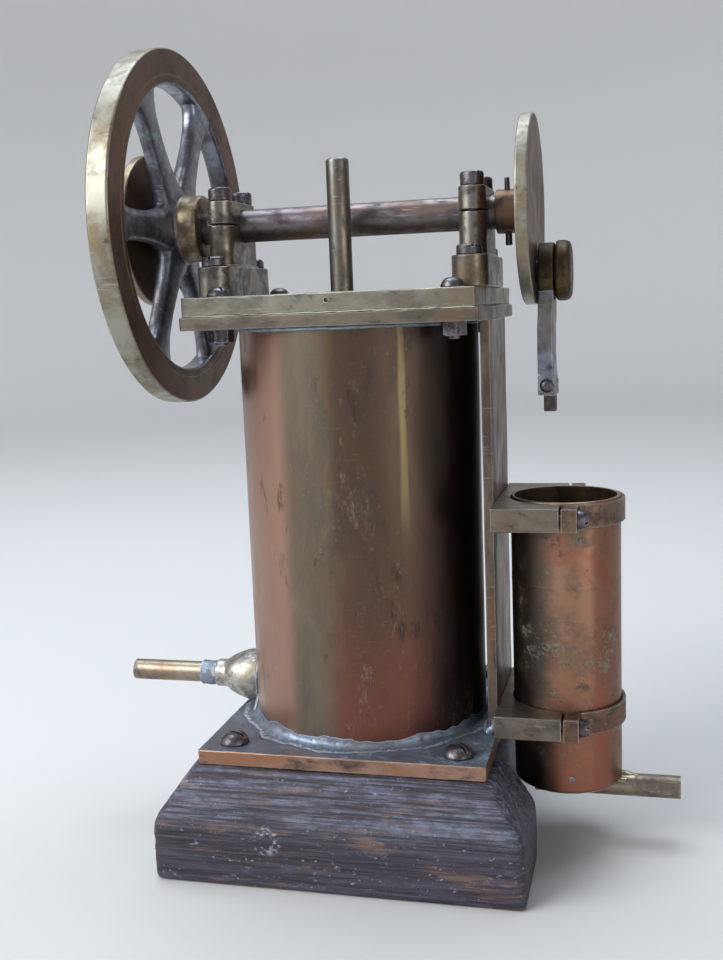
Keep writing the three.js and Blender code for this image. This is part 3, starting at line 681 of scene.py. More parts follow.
    CONE = ("solder", OldMetal(
        "cone_brass", (0.44, 0.42, 0.38), (0.15, 0.13, 0.125), (0.32, 0.26, 0.17),
        (0.8, 0.82, 0.88), cover=0.4, gloss=0.28, patch=0.16, pits=0.14))
    PIPE = ("plate_brass", OldMetal(
        "pipe_brass", (0.32, 0.27, 0.2), (0.13, 0.105, 0.085), (0.27, 0.17, 0.12),
        (0.65, 0.6, 0.5), cover=0.42, gloss=0.28, patch=0.1, pits=0.05))
    CARD = ("gasket_card", Card())

    def __init__(self, slot: str, recipe: Any) -> None:
        """Keep the slot and the recipe."""
        self.slot = slot
        self.recipe = recipe

    @cache
    def material(self) -> bpy.types.Material:
        """Return the finish's material, built once."""
        return self.recipe.build()


# ------------------------------------------------------------ meshes and work
def softened(
    corners: Sequence[Sequence[float]], radius: float, steps: int = 3, closed: bool = True
) -> list[Point]:
    """Round the corners of an outline.

    Args:
        corners: Points as (x, y), or (x, y, radius) for one with its own.
        radius: The others' radius.
        steps: Edges in each rounding.
        closed: Whether the outline closes on itself.

    Returns:
        The rounded outline.
    """
    count = len(corners)
    points: list[Point] = []
    for index, corner in enumerate(corners):
        here = Vector(corner[:2])
        reach = corner[2] if len(corner) > 2 else radius
        if reach <= 0 or (not closed and index in (0, count - 1)):
            points.append((here.x, here.y))
            continue
        before = Vector(corners[index - 1][:2]) - here
        after = Vector(corners[(index + 1) % count][:2]) - here
        start = here + before.normalized() * min(reach, before.length * 0.48)
        end = here + after.normalized() * min(reach, after.length * 0.48)
        for step in range(steps + 1):
            t = step / steps
            point = start * (1 - t) ** 2 + here * 2 * t * (1 - t) + end * t * t
            points.append((point.x, point.y))
    return points


def inset(outline: Sequence[Point], depth: float) -> list[Point]:
    """Move an anticlockwise outline inwards by a depth."""
    moved = []
    for index, point in enumerate(outline):
        here = Vector(point)
        back = (here - Vector(outline[index - 1])).normalized()
        ahead = (Vector(outline[(index + 1) % len(outline)]) - here).normalized()
        way = back + ahead
        side = Vector((-way.y, way.x)).normalized()
        lean = max(0.4, side.dot(Vector((-back.y, back.x))))
        moved.append(tuple(here + side * depth / lean))
    return moved


def spaced(outline: Sequence[Point], step: float) -> list[Point]:
    """Split the outline's long edges so that none is longer than a step."""
    points: list[Point] = []
    for index, point in enumerate(outline):
        here, after = Vector(point), Vector(outline[(index + 1) % len(outline)])
        parts = max(1, math.ceil((after - here).length / step))
        points += [tuple(here.lerp(after, part / parts)) for part in range(parts)]
    return points


def oblong(half_x: float, half_y: float, radius: float, steps: int = 4) -> list[Point]:
    """Outline a rectangle with rounded corners, anticlockwise."""
    corners = [(-half_x, -half_y), (half_x, -half_y), (half_x, half_y), (-half_x, half_y)]
    return softened(corners, radius, steps)


def stadium(half_length: float, radius: float, steps: int = 14) -> list[Point]:
    """Outline a bar with round ends, long in Y, anticlockwise."""
    points = []
    for side in (REAR, FRONT):
        for step in range(steps + 1):
            angle = math.pi * step / steps + (0 if side == REAR else math.pi)
            points.append((
                radius * math.cos(angle),
                side * (half_length - radius) + radius * math.sin(angle),
            ))
    return points


def rough(size: float, scale: float, seed: float = 0.0) -> Callable[[Vector], Vector]:
    """Make a small wander of points.

    Args:
        size: The wander in millimetres.
        scale: Its wavelength in millimetres.
        seed: A shift of the pattern.

    Returns:
        A function that moves a point.
    """
    shift = Vector((seed, seed * 1.7, -seed))
    return lambda point: point + noise.noise_vector(point / scale + shift) * size


class Shape:
    """A mesh in millimetres that is being worked."""

    def __init__(self, mesh: bpy.types.Mesh) -> None:
        """Hold a mesh."""
        self.mesh = mesh

    @classmethod
    def loft(
        cls, rings: Sequence[Sequence[Vector]], around: bool = False
    ) -> Shape:
        """Skin a row of rings, with flat ends unless it comes round.

        Args:
            rings: Rings of one length; a ring of one point is a pole.
            around: Whether the last ring joins the first.

        Returns:
            The closed shape.
        """
        work = bmesh.new()
        rows = [[work.verts.new(point) for point in ring] for ring in rings]
        pairs = list(zip(rows, rows[1:]))
        if around:
            pairs.append((rows[-1], rows[0]))
        for low, high in pairs:
            count = max(len(low), len(high))
            for index in range(count):
                after = (index + 1) % count
                quad = [
                    low[index % len(low)], low[after % len(low)],
                    high[after % len(high)], high[index % len(high)],
                ]
                face = list(dict.fromkeys(quad))
                if len(face) > 2:
                    work.faces.new(face)
        if not around:
            for end in (rows[0], rows[-1]):
                if len(end) > 2:
                    work.faces.new(end)
        bmesh.ops.remove_doubles(work, verts=work.verts, dist=1e-4)
        bmesh.ops.recalc_face_normals(work, faces=work.faces)
        mesh = bpy.data.meshes.new("shape")
        work.to_mesh(mesh)
        work.free()
        return cls(mesh)

    @classmethod
    def turned(
        cls,
        profile: Sequence[Sequence[float]],
        segments: int = 96,
        wander: Callable[[Vector], Vector] | None = None,
    ) -> Shape:
        """Turn a profile of (radius, height) about +Z.

        Args:
            profile: From axis to axis, or a closed section off the axis.
            segments: Facets round it.
            wander: A small movement of each point.

        Returns:
            The shape.
        """
        rings = []
        for radius, z in profile:
            if radius < 1e-6:
                rings.append([Vector((0, 0, z))])
                continue
            angles = [FULL_TURN * step / segments for step in range(segments)]
            ring = [Vector((radius * math.cos(a), radius * math.sin(a), z)) for a in angles]
            rings.append([wander(point) for point in ring] if wander else ring)
        return cls.loft(rings, around=profile[0][0] > 1e-6)

    @classmethod
    def prism(
        cls,
        outline: Sequence[Point],
        low: float,
        high: float,
        edge: float = 0.3,
        wander: Callable[[Vector], Vector] | None = None,
    ) -> Shape:
        """Raise an outline from one height to another, with rounded edges.

        Args:
            outline: The outline, anticlockwise.
            low: The underside's height.
            high: The top's height.
            edge: The edges' radius.
            wander: A small movement of each point.

        Returns:
            The shape.
        """
        levels = []
        for step in range(4):
            angle = math.pi / 2 * step / 3
            levels.append((edge * (1 - math.sin(angle)), low + edge * (1 - math.cos(angle))))
        levels += [(depth, low + high - z) for depth, z in reversed(levels)]
        rings = []
        for depth, z in levels:
            ring = [Vector((*point, z)) for point in inset(outline, depth)]
            rings.append([wander(point) for point in ring] if wander else ring)
        return cls.loft(rings)

    def moved(self, shift: Sequence[float], turn: Matrix | None = None) -> Shape:
        """Turn the shape, move it and return it."""
        matrix = Matrix.Translation(Vector(shift))
        if turn is not None:
            matrix = matrix @ turn
        self.mesh.transform(matrix)
        return self

    def along_x(self) -> Shape:
        """Lay the shape's +Z along +X and return it."""
        return self.moved((0, 0, 0), Matrix.Rotation(math.pi / 2, 4, "Y"))

    def laid(self, x: float, y: float, z: float) -> Shape:
        """Lay the shape's +Z along +X from a place and return it."""
        return self.along_x().moved((x, y, z))

    def worked(self, kind: str, **settings: Any) -> Shape:
        """Return a new shape with one modifier applied."""
        holder = bpy.data.objects.new("work", self.mesh)
        bpy.context.scene.collection.objects.link(holder)
        modifier = holder.modifiers.new("work", kind)
        for name, value in settings.items():
            setattr(modifier, name, value)
        evaluated = holder.evaluated_get(bpy.context.evaluated_depsgraph_get())
        mesh = bpy.data.meshes.new_from_object(evaluated)
        bpy.data.objects.remove(holder)
        return Shape(mesh)

    def _joined(self, operation: str, others: Sequence[Shape]) -> Shape:
        """Return the boolean of this shape with others, one by one."""
        result = self
        for other in others:
            tool = bpy.data.objects.new("tool", other.mesh)
            bpy.context.scene.collection.objects.link(tool)
            result = result.worked(
                "BOOLEAN", operation=operation, object=tool, solver="EXACT"
            )
            bpy.data.objects.remove(tool)
        return result

    def plus(self, *others: Shape) -> Shape:
        """Return the union."""
        return self._joined("UNION", others)

    def minus(self, *others: Shape) -> Shape:
        """Return the difference."""
        return self._joined("DIFFERENCE", others)

    def common(self, *others: Shape) -> Shape:
        """Return the intersection."""
        return self._joined("INTERSECT", others)

    def cast(self, voxel: float, smooth: int) -> Shape:
        """Return the shape as one cast skin with filleted corners."""
        skin = self.worked("REMESH", mode="VOXEL", voxel_size=voxel)
        return skin.worked("SMOOTH", factor=0.5, iterations=smooth)

    def wandered(self, wander: Callable[[Vector], Vector]) -> Shape:
        """Move every point by a small wander and return the shape."""
        for vertex in self.mesh.vertices:
            vertex.co = wander(vertex.co)
        return self

    @staticmethod
    def together(*shapes: Shape) -> Shape:
        """Return separate shapes as one mesh."""
        work = bmesh.new()
        for shape in shapes:
            work.from_mesh(shape.mesh)
        mesh = bpy.data.meshes.new("shape")
        work.to_mesh(mesh)
        work.free()
        return Shape(mesh)

    def piece(
        self,
        name: str,
        finish: Finish,
        body: str,
        nodes: Sequence[str] = (),
        crease: float = 38,
        others: Sequence[tuple[Finish, Callable[[Vector, Vector], bool]]] = (),
    ) -> bpy.types.Object:
        """Make the shape a finished piece of the object.

        Args:
            name: The piece's name.
            finish: Its finish.
            body: The CAD body that it moves with.
            nodes: The CAD nodes that it stands for.
            crease: Degrees between faces above which an edge stays sharp.
            others: Other finishes, each with a test of a face's middle in
                millimetres and its normal that says where it goes.

        Returns:
            The object.
        """
        self.mesh.transform(Matrix.Scale(MM, 4))
        self.mesh.shade_smooth()
        self.mesh.set_sharp_from_angle(angle=math.radians(crease))
        smooth = self.worked("WEIGHTED_NORMAL", keep_sharp=True, weight=60)
        mesh = smooth.mesh
        mesh.name = name
        mesh.materials.clear()
        mesh.materials.append(finish.material())
        for index, (other, covers) in enumerate(others, 1):
            mesh.materials.append(other.material())
            for face in mesh.polygons:
                if covers(face.center / MM, face.normal):
                    face.material_index = index
        result = bpy.data.objects.new(name, mesh)
        bpy.context.scene.collection.objects.link(result)
        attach(result, body)
        if nodes:
            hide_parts(*nodes)
        LOG.info("%s: %d faces on %s", name, len(mesh.polygons), body)
        return result

    def fine(self, node: str, finish: Finish, body: str, *rest: Any, **more: Any) -> None:
        """Make the shape the finished piece that stands for one node alone."""
        self.piece(f"{node}_fine", finish, body, [node], *rest, **more)


def lathe(
    profile: Sequence[Sequence[float]],
    edge: float,
    steps: int,
    segments: int,
    wander: Callable[[Vector], Vector] | None = None,
) -> Shape:
    """Turn a profile that runs from axis to axis, with rounded corners.

    Args:
        profile: Points as softened takes them.
        edge: The corners' radius, where they have none of their own.
        steps: Edges in each rounding.
        segments: Facets round it.
        wander: A small movement of each point.

    Returns:
        The shape.
    """
    return Shape.turned(softened(profile, edge, steps, closed=False), segments, wander)


def tube(outer: float, inner: float, low: float, high: float, edge: float = 0.2,
         segments: int = 96) -> Shape:
    """Turn a tube about +Z with rounded edges."""
    section = [(inner, low), (outer, low), (outer, high), (inner, high)]
    return Shape.turned(softened(section, edge), segments)


def pin(radius: float, low: float, high: float, edge: float = 0.2,
        segments: int = 64) -> Shape:
    """Turn a plain pin about +Z with rounded ends."""
    section = [(0, low), (radius, low, edge), (radius, high, edge), (0, high)]
    return lathe(section, 0, 3, segments)


def slab(low: Sequence[float], high: Sequence[float], edge: float = 0.25) -> Shape:
    """Make a block between two corners, with rounded edges."""
    half_x, half_y = (high[0] - low[0]) / 2, (high[1] - low[1]) / 2
    shape = Shape.prism(oblong(half_x, half_y, edge * 1.5), low[2], high[2], edge)
    return shape.moved((low[0] + half_x, low[1] + half_y, 0))


# ------------------------------------------------------------ geometry nodes
class NodeTree:
    """A Geometry Nodes tree being written."""

    def __init__(self, name: str, inputs: Sequence[tuple[str, str]]) -> None:
        """Start a tree.

        Args:
            name: Its name.
            inputs: Each input's name and socket type, after the geometry.
        """
        self.tree = bpy.data.node_groups.new(name, "GeometryNodeTree")
        face = self.tree.interface
        self.keys = {
            label: face.new_socket(label, in_out="INPUT", socket_type=kind).identifier
            for label, kind in [("Geometry", "NodeSocketGeometry"), *inputs]
        }
        face.new_socket("Geometry", in_out="OUTPUT", socket_type="NodeSocketGeometry")
        self.inputs = self.tree.nodes.new("NodeGroupInput").outputs
        self.result = self.tree.nodes.new("NodeGroupOutput").inputs[0]

    def add(
        self, kind: str, settings: dict[str, Any], inputs: dict[Any, Any]
    ) -> bpy.types.Node:
        """Add a node with its settings, then its values or links."""
        node = self.tree.nodes.new(kind)
        for name, value in settings.items():
            setattr(node, name, value)
        for key, value in inputs.items():
            if isinstance(value, bpy.types.NodeSocket):
                self.tree.links.new(value, node.inputs[key])
            else:
                node.inputs[key].default_value = value
        return node

    def close(self, geometry: bpy.types.NodeSocket) -> None:
        """Realise the instances, set the material and end the tree."""
        real = self.add("GeometryNodeRealizeInstances", {}, {0: geometry})
        dressed = self.add(
            "GeometryNodeSetMaterial", {},
            {0: real.outputs[0], "Material": self.inputs["Finish"]},
        )
        self.tree.links.new(dressed.outputs[0], self.result)

    def run(self, base: bpy.types.Mesh, values: dict[str, Any]) -> Shape:
        """Run the tree on a mesh.

        Args:
            base: The mesh that the tree starts from.
            values: Its inputs, by name.

        Returns:
            The result as a plain mesh.
        """
        holder = bpy.data.objects.new("work", base)
        modifier = holder.modifiers.new("work", "NODES")
        modifier.node_group = self.tree
        for label, value in values.items():
            modifier[self.keys[label]] = value
        bpy.context.scene.collection.objects.link(holder)
        evaluated = holder.evaluated_get(bpy.context.evaluated_depsgraph_get())
        mesh = bpy.data.meshes.new_from_object(evaluated)
        holder.modifiers.remove(modifier)
        bpy.data.objects.remove(holder)
        return Shape(mesh)


class Repeats(NodeTree):
    """Sets copies of a master shape on points, each with its own turn."""

    def __init__(self) -> None:
        """Build the tree."""
        super().__init__("repeats", [
            ("Master", "NodeSocketObject"), ("Lean", "NodeSocketVector"),
            ("Step", "NodeSocketFloat"), ("Start", "NodeSocketFloat"),
            ("Spin", "NodeSocketFloat"), ("Seed", "NodeSocketInt"),
            ("Finish", "NodeSocketMaterial"),
        ])
        given = self.inputs
        master = self.add("GeometryNodeObjectInfo", {}, {"Object": given["Master"]})
        index = self.add("GeometryNodeInputIndex", {}, {}).outputs[0]
        turned = self.add("ShaderNodeMath", {"operation": "MULTIPLY_ADD"},
                          {0: index, 1: given["Step"], 2: given["Start"]})
        orbit = self.add("FunctionNodeAxisAngleToRotation", {},
                         {"Axis": (1, 0, 0), "Angle": turned.outputs[0]})
        chance = self.add("FunctionNodeRandomValue", {"data_type": "FLOAT"},
                          {"Seed": given["Seed"]})
        self.tree.links.new(given["Spin"], chance.inputs[3])
        spin = self.add("FunctionNodeAxisAngleToRotation", {},
                        {"Axis": (0, 0, 1), "Angle": chance.outputs[1]})
        lean = self.add("FunctionNodeEulerToRotation", {}, {0: given["Lean"]})
        own = self.add("FunctionNodeRotateRotation", {"rotation_space": "LOCAL"},
                       {0: lean.outputs[0], 1: spin.outputs[0]})
        whole = self.add("FunctionNodeRotateRotation", {"rotation_space": "GLOBAL"},
                         {0: own.outputs[0], 1: orbit.outputs[0]})
        copies = self.add("GeometryNodeInstanceOnPoints", {}, {
            "Points": given["Geometry"], "Instance": master.outputs["Geometry"],
            "Rotation": whole.outputs[0]})
        self.close(copies.outputs[0])

    def set_out(
        self,
        master: Shape,
        points: Sequence[Sequence[float]],
        finish: Finish,
        lean: Sequence[float] = (0, 0, 0),
        step: float = 0,
        start: float = 0,
        spin: float = 0,
        seed: int = 0,
    ) -> Shape:
        """Set out copies of a master shape.

        Args:
            master: The shape, with its axis along +Z.
            points: Where the copies go, in millimetres.
            finish: Their finish.
            lean: Their shared turn, as angles about X, Y and Z.
            step: Each copy's extra turn about the X axis.
            start: The first copy's turn about the X axis.
            spin: The most that one turns about its own axis.
            seed: The seed of those turns.

        Returns:
            The copies as one mesh.
        """
        holder = bpy.data.objects.new("master", master.mesh)
        base = bpy.data.meshes.new("points")
        base.from_pydata([tuple(point) for point in points], [], [])
        copies = self.run(base, {
            "Master": holder, "Lean": tuple(lean), "Step": float(step),
            "Start": float(start), "Spin": float(spin), "Seed": seed,
            "Finish": finish.material()})
        bpy.data.objects.remove(holder)
        return copies


class Beads(NodeTree):
    """Runs an uneven bead along a line of points."""

    def __init__(self) -> None:
        """Build the tree."""
        super().__init__("beads", [
            ("Radius", "NodeSocketFloat"), ("Wander", "NodeSocketFloat"),
            ("Wavelength", "NodeSocketFloat"), ("Seed", "NodeSocketFloat"),
            ("Finish", "NodeSocketMaterial"),
        ])
        given = self.inputs
        curve = self.add("GeometryNodeMeshToCurve", {}, {0: given["Geometry"]})
        section = self.add("GeometryNodeCurvePrimitiveCircle", {}, {"Resolution": 10})
        self.tree.links.new(given["Radius"], section.inputs["Radius"])
        skin = self.add("GeometryNodeCurveToMesh", {},
                        {0: curve.outputs[0], 1: section.outputs[0], "Fill Caps": True})
        place = self.add("GeometryNodeInputPosition", {}, {}).outputs[0]
        pattern = self.add("ShaderNodeTexNoise", {"noise_dimensions": "4D"}, {
            "Vector": place, "W": given["Seed"], "Detail": 2.0})
        self.tree.links.new(given["Wavelength"], pattern.inputs["Scale"])
        centred = self.add("ShaderNodeMath", {"operation": "SUBTRACT"},
                           {0: pattern.outputs[0], 1: 0.45})
        reach = self.add("ShaderNodeMath", {"operation": "MULTIPLY"},
                         {0: centred.outputs[0], 1: given["Wander"]})
        normal = self.add("GeometryNodeInputNormal", {}, {}).outputs[0]
        offset = self.add("ShaderNodeVectorMath", {"operation": "SCALE"}, {0: normal})
        self.tree.links.new(reach.outputs[0], offset.inputs["Scale"])
        uneven = self.add("GeometryNodeSetPosition", {},
                          {0: skin.outputs[0], "Offset": offset.outputs[0]})
        self.close(uneven.outputs[0])

    def along(
        self,
        points: Sequence[Sequence[float]],
        radius: float,
        wander: float,
        around: bool = False,
        seed: float = 0,
    ) -> Shape:
        """Run a bead of solder along some points.

        Args:
            points: The line, in millimetres.
            radius: The bead's radius.
            wander: How uneven it is, in millimetres.
            around: Whether the line closes on itself.
            seed: The pattern's seed.

        Returns:
            The bead.
        """
        edges = [(i, i + 1) for i in range(len(points) - 1)]
        if around:
            edges.append((len(points) - 1, 0))
        base = bpy.data.meshes.new("line")
        base.from_pydata([tuple(point) for point in points], edges, [])
        return self.run(base, {
            "Radius": float(radius), "Wander": float(wander), "Wavelength": 0.35,
            "Seed": float(seed), "Finish": Finish.SOLDER.material()})


# ------------------------------------------------------------- sub-assemblies
FRAME, SHAFT, LINK, ROD = "frame", "shaft", "link", "rod"
CORNERS = [(f"{side}_{end}", x, y) for side, y in (("front", FRONT), ("rear", REAR))
           for end, x in (("left", LEFT), ("right", RIGHT))]


@dataclass
class Workshop:
    """The trees that the sub-assemblies share."""

    repeats: Repeats
    beads: Beads

    def fixings(
        self, name: str, master: Shape, nodes: Sequence[str],
        height: float, seed: int, lean: Sequence[float] = (0, 0, 0),
    ) -> None:
        """Make the heads of a set of steel screws, bolts or nuts.

        Args:
            name: The piece's name.
            master: One of them, seated at the origin.
            nodes: The CAD nodes that they stand for.
            height: The head's height above the foot of each node's box.
            seed: The seed of their turns.
            lean: Their shared turn.
        """
        points = []
        for node in nodes:
            span = Span.of(node)
            seat = span.centre.copy()
            axis = 0 if lean[1] else 2
            seat[axis] = span.high[axis] - height
            points.append(seat)
        copies = self.repeats.set_out(
            master, points, Finish.STEEL, lean=lean, spin=FULL_TURN, seed=seed)
        copies.piece(name, Finish.STEEL, FRAME, nodes)


def slotted(shape: Shape, radius: float, top: float, width: float, depth: float) -> Shape:
    """Cut a screwdriver slot across the top of a head."""
    return shape.minus(slab(
        (-width / 2, -radius * 1.3, top - depth), (width / 2, radius * 1.3, top + 2), 0.05))


@dataclass
class Plinth:
    """The wooden plinth: sloping sides over an upright foot."""

    spread: float = 8.9
    side: float = 16.0
    shoulder: float = 3.0
    corner: float = 2.2
    clearance: float = 2.2
    voxel: float = 0.8

    def build(self) -> None:
        """Build and dress the plinth."""
        span, barrel = Span.of("wood_base"), Span.of("pump_barrel")
        half, top = -span.low.x, span.high.z
        profile = softened(
            [(half, 0.0, 0.8), (half, self.side, self.shoulder),
             (half - self.spread, top, 0.6)], 0.6, 5, closed=False)
        profile = [(half - 0.9, 0.0), (half - 0.2, 0.25), (half, 1.0), *profile[1:]]
        rings = [[Vector((*point, z)) for point in oblong(reach, reach, self.corner, 6)]
                 for reach, z in profile]
        cut_x, cut_y = barrel.low.x - self.clearance, barrel.low.y - self.clearance
        body = Shape.loft(rings).minus(slab(
            (cut_x, cut_y, -2), (half + 9, half + 9, top + 2), 0.8))
        body = body.cast(self.voxel, 3)

        def worn(point: Vector) -> Vector:
            """Wear the arrises and leave the faces slightly uneven."""
            drawn = Vector((point.x * 0.03, point.y * 0.5, point.z * 0.5))
            point = point + noise.noise_vector(drawn) * 0.12
            nibble = noise.noise(Vector((point.x * 0.13, point.y * 0.16, point.z * 0.25)))
            arris = min(1.0, max(0.0, (abs(point.x) + abs(point.y) - 2 * half + 4.5) / 4))
            shrink = 1 - arris * max(0.0, nibble) * 0.018
            low_z = max(0.0, point.z)
            return Vector((point.x * shrink, point.y * shrink, low_z))

        body.wandered(worn).piece("plinth", Finish.WOOD, FRAME, ["wood_base"], 60)


@dataclass
class Plates:
    """The base plate, the flange, its gasket and the cover."""

    step: float = 1.3
    edge: float = 0.35
    witness_radius: float = 0.55
    witness_depth: float = 1.5
    witness_x: float = 0.8

    def plate(self, node: str, corner: float, wander: float, seed: float) -> Shape:
        """Make one flat plate in its node's box.

        Args:
            node: The CAD node.
            corner: Radius of its corners in plan.
            wander: How uneven its filed edges are, in millimetres.
            seed: The seed of that.

        Returns:
            The plate.
        """
        span = Span.of(node)
        edge = min(self.edge, span.size.z / 3)
        outline = spaced(oblong(span.size.x / 2, span.size.y / 2, corner), self.step)
        plate = Shape.prism(outline, span.low.z, span.high.z, edge, rough(wander, 2.2, seed))
        return plate.moved((span.centre.x, span.centre.y, 0))

    def build(self) -> None:
        """Build and dress the plates."""
        # The top face takes its own blue-tinted finish, a painted reflection of cool light; the
        # edges keep the orange-brown brass.
        self.plate("base_plate", 0.9, 0.1, 3).fine(
            "base_plate", Finish.BASE_EDGE, FRAME,
            others=[(Finish.BASE_TOP_BLOOM_AND_REFLECTION, lambda middle, normal: normal.z > 0.9)])
        self.plate("top_flange", 0.8, 0.1, 5).fine("top_flange", Finish.FLANGE, FRAME)
        self.plate("gasket", 0.4, 0.16, 7).fine("gasket", Finish.CARD, FRAME)
        span, rod = Span.of("cover_plate"), Span.of("rod_bush")
        mark = pin(self.witness_radius, -self.witness_depth, 2, 0.05, 20).moved(
            (self.witness_x, span.low.y, span.low.z + span.size.z * 0.6),
            Matrix.Rotation(math.pi / 2, 4, "X"))
        bore = pin(rod.size.x / 2, span.low.z - 1, span.high.z + 1, 0.05).moved(
            (rod.centre.x, rod.centre.y, 0))
        cover = self.plate("cover_plate", 0.8, 0.14, 9).minus(mark, bore)
        cover.fine("cover_plate", Finish.PLATE, FRAME)
        radius = rod.size.x / 2
        bush = tube(radius - 0.05, radius - 1.5, rod.low.z, rod.high.z + 0.3)
        bush.moved((rod.centre.x, rod.centre.y, 0)).fine("rod_bush", Finish.STEEL, FRAME)

    def fixings(self, shop: Workshop) -> None:
        """Build and dress the plates' screws and nuts."""
        wood = [f"base_screw_{corner}" for corner, _, _ in CORNERS]
        radius = Span.of(wood[0]).size.x / 2
        head = lathe([
            (0, -4), (2, -4), (2, 0, 0), (radius - 0.3, -0.05, 0.2), (radius, 0.35, 0.4),
            (radius * 0.86, 1.7, 1.2), (radius * 0.5, 2.75, 1.4), (0, 2.95, 0)], 0.3, 5, 64)
        shop.fixings("base_screws", slotted(head, radius, 2.9, 1.0, 1.25), wood, 2.8, 4)
        small = [f"cover_screw_{corner}" for corner, _, _ in CORNERS]
        radius = Span.of(small[0]).size.x / 2
        head = lathe([
            (0, -12.5), (1.5, -12.5), (1.5, 0, 0), (radius - 0.2, 0, 0.1), (radius, 0.4, 0.4),
            (radius * 0.8, 1.8, 1.0), (radius * 0.4, 2.55, 1.0), (0, 2.6, 0)], 0.3, 5, 48)
        shop.fixings("cover_screws", slotted(head, radius, 2.6, 0.7, 1.0), small, 2.6, 11)
        nuts = [f"cover_nut_{corner}" for corner, _, _ in CORNERS]
        span = Span.of(nuts[0])
        shop.fixings("cover_nuts", hexagon(span.size.y / 2, span.size.z), nuts, span.size.z, 2)


def hexagon(radius: float, height: float) -> Shape:
    """Make a nut with chamfered corners, standing on the origin."""
    corners = [(radius * math.cos(FULL_TURN * i / 6), radius * math.sin(FULL_TURN * i / 6))
               for i in range(6)]
    body = Shape.prism(spaced(softened(corners, 0.15, 2), 1), 0, height, 0.05)
    chamfer = Shape.turned([
        (0, -0.01), (radius * 0.9, -0.01), (radius * 1.02, height * 0.14),
        (radius * 1.02, height * 0.86), (radius * 0.9, height + 0.01), (0, height + 0.01)], 64)
    return body.common(chamfer)


@dataclass
class Cylinder:
    """The main cylinder, its solder and its inlet."""

    wall: float = 1.2
    skirt: float = 2.6
    rise: float = 2.4
    rim_bead: float = 0.55

    def build(self, shop: Workshop) -> None:
        """Build and dress the cylinder and what is soldered to it."""
        span = Span.of("main_cylinder")
        radius = span.size.x / 2
        dent = rough(0.07, 26, 2)
        section = [(radius - self.wall, span.low.z), (radius, span.low.z),
                   *[(radius, span.low.z + span.size.z * i / 14) for i in range(1, 14)],
                   (radius, span.high.z), (radius - self.wall, span.high.z)]
        Shape.turned(section, 192, dent).fine("main_cylinder", Finish.TUBE, FRAME, 50)
        self._foot_solder(radius, span.low.z)
        circle = [(radius * math.cos(FULL_TURN * i / 120), radius * math.sin(FULL_TURN * i / 120),
                   span.high.z - 0.35) for i in range(120)]
        shop.beads.along(circle, self.rim_bead, 1.0, True, 3).piece(
            "flange_solder", Finish.SOLDER, FRAME)
        self._inlet(shop, radius)

    def _foot_solder(self, radius: float, floor: float) -> None:
        """Build the uneven fillet of solder round the cylinder's foot."""
        rings = []
        count = 300
        for index in range(count):
            angle = FULL_TURN * index / count
            way = Vector((math.cos(angle), math.sin(angle), 0))
            slow = noise.noise(way * 2.6 + Vector((0, 0, 4)))
            quick = noise.noise(way * 11 + Vector((3, 0, 0)))
            width = self.skirt * (1.25 + 0.75 * slow + 0.3 * quick)
            rise = self.rise * (1.0 + 0.55 * slow + 0.35 * quick)
            ring = [way * (radius - 0.4) + Vector((0, 0, floor - 0.3))]
            for step in range(9):
                turn = math.pi / 2 * step / 8
                out = width * (1 - math.sin(turn)) ** 1.25
                up = rise * (1 - math.cos(turn)) ** 1.25
                lump = 0.16 * noise.noise(way * 30 + Vector((0, 0, step)))
                ring.append(way * (radius + 0.05 + out) + Vector((0, 0, floor + 0.06 + up + lump)))
            ring.append(way * (radius - 0.4) + Vector((0, 0, floor + rise)))
            rings.append(ring)
        Shape.loft(rings, around=True).piece(
            "foot_solder", Finish.SOLDER, FRAME, ["cylinder_solder"], 70)

    def _inlet(self, shop: Workshop, radius: float) -> None:
        """Build the soldered cone and the tube in it."""
        cone, pipe = Span.of("inlet_boss"), Span.of("inlet_tube")
        level, large = cone.centre.z, cone.size.y / 2
        length = -cone.low.x
        small = pipe.size.y / 2 + 1.0
        profile = softened([
            (0, 20), (large, 20), (large, radius + 2.4, 1.5), (large * 0.97, radius + 4.6, 3),
            (large * 0.72, length - 5.2, 2.5), (small, length - 3.6, 1.2),
            (small, length - 0.4, 0.6), (0, length - 0.2)], 0.3, 5, closed=False)
        bell = Shape.turned(profile, 80, rough(0.14, 3.2, 8)).along_x()
        bell = bell.moved((0, 0, level), Matrix.Rotation(math.pi, 4, "Z"))
        bell.minus(pin(radius - 0.1, level - 30, level + 30, 0.1, 192)).piece(
            "inlet_cone", Finish.CONE, FRAME, ["inlet_boss"], 45)
        rim = []
        for index in range(48):
            angle = FULL_TURN * index / 48
            y = large * math.cos(angle)
            x = -math.sqrt((radius + 0.35) ** 2 - y * y)
            rim.append((x, y, level + large * math.sin(angle)))
        drip = [(-31.6 - 0.3 * t, -6.6 - 0.9 * t, level - 3.4 - 1.65 * t) for t in range(4)]
        collar = [(-length + 0.6 - 0.7 * step, 0, level) for step in range(8)]
        beads = Shape.together(
            shop.beads.along(rim, 0.62, 1.1, True, 5),
            shop.beads.along(drip, 0.8, 1.1, False, 9),
            shop.beads.along(collar, pipe.size.y / 2 + 0.55, 1.0, False, 2))
        beads.piece("inlet_solder", Finish.SOLDER, FRAME)
        pipe_shape = tube(pipe.size.y / 2, pipe.size.y / 2 - 0.8, 0, pipe.size.x, 0.2, 48)
        pipe_shape.laid(pipe.low.x, 0, level).fine("inlet_tube", Finish.PIPE, FRAME)


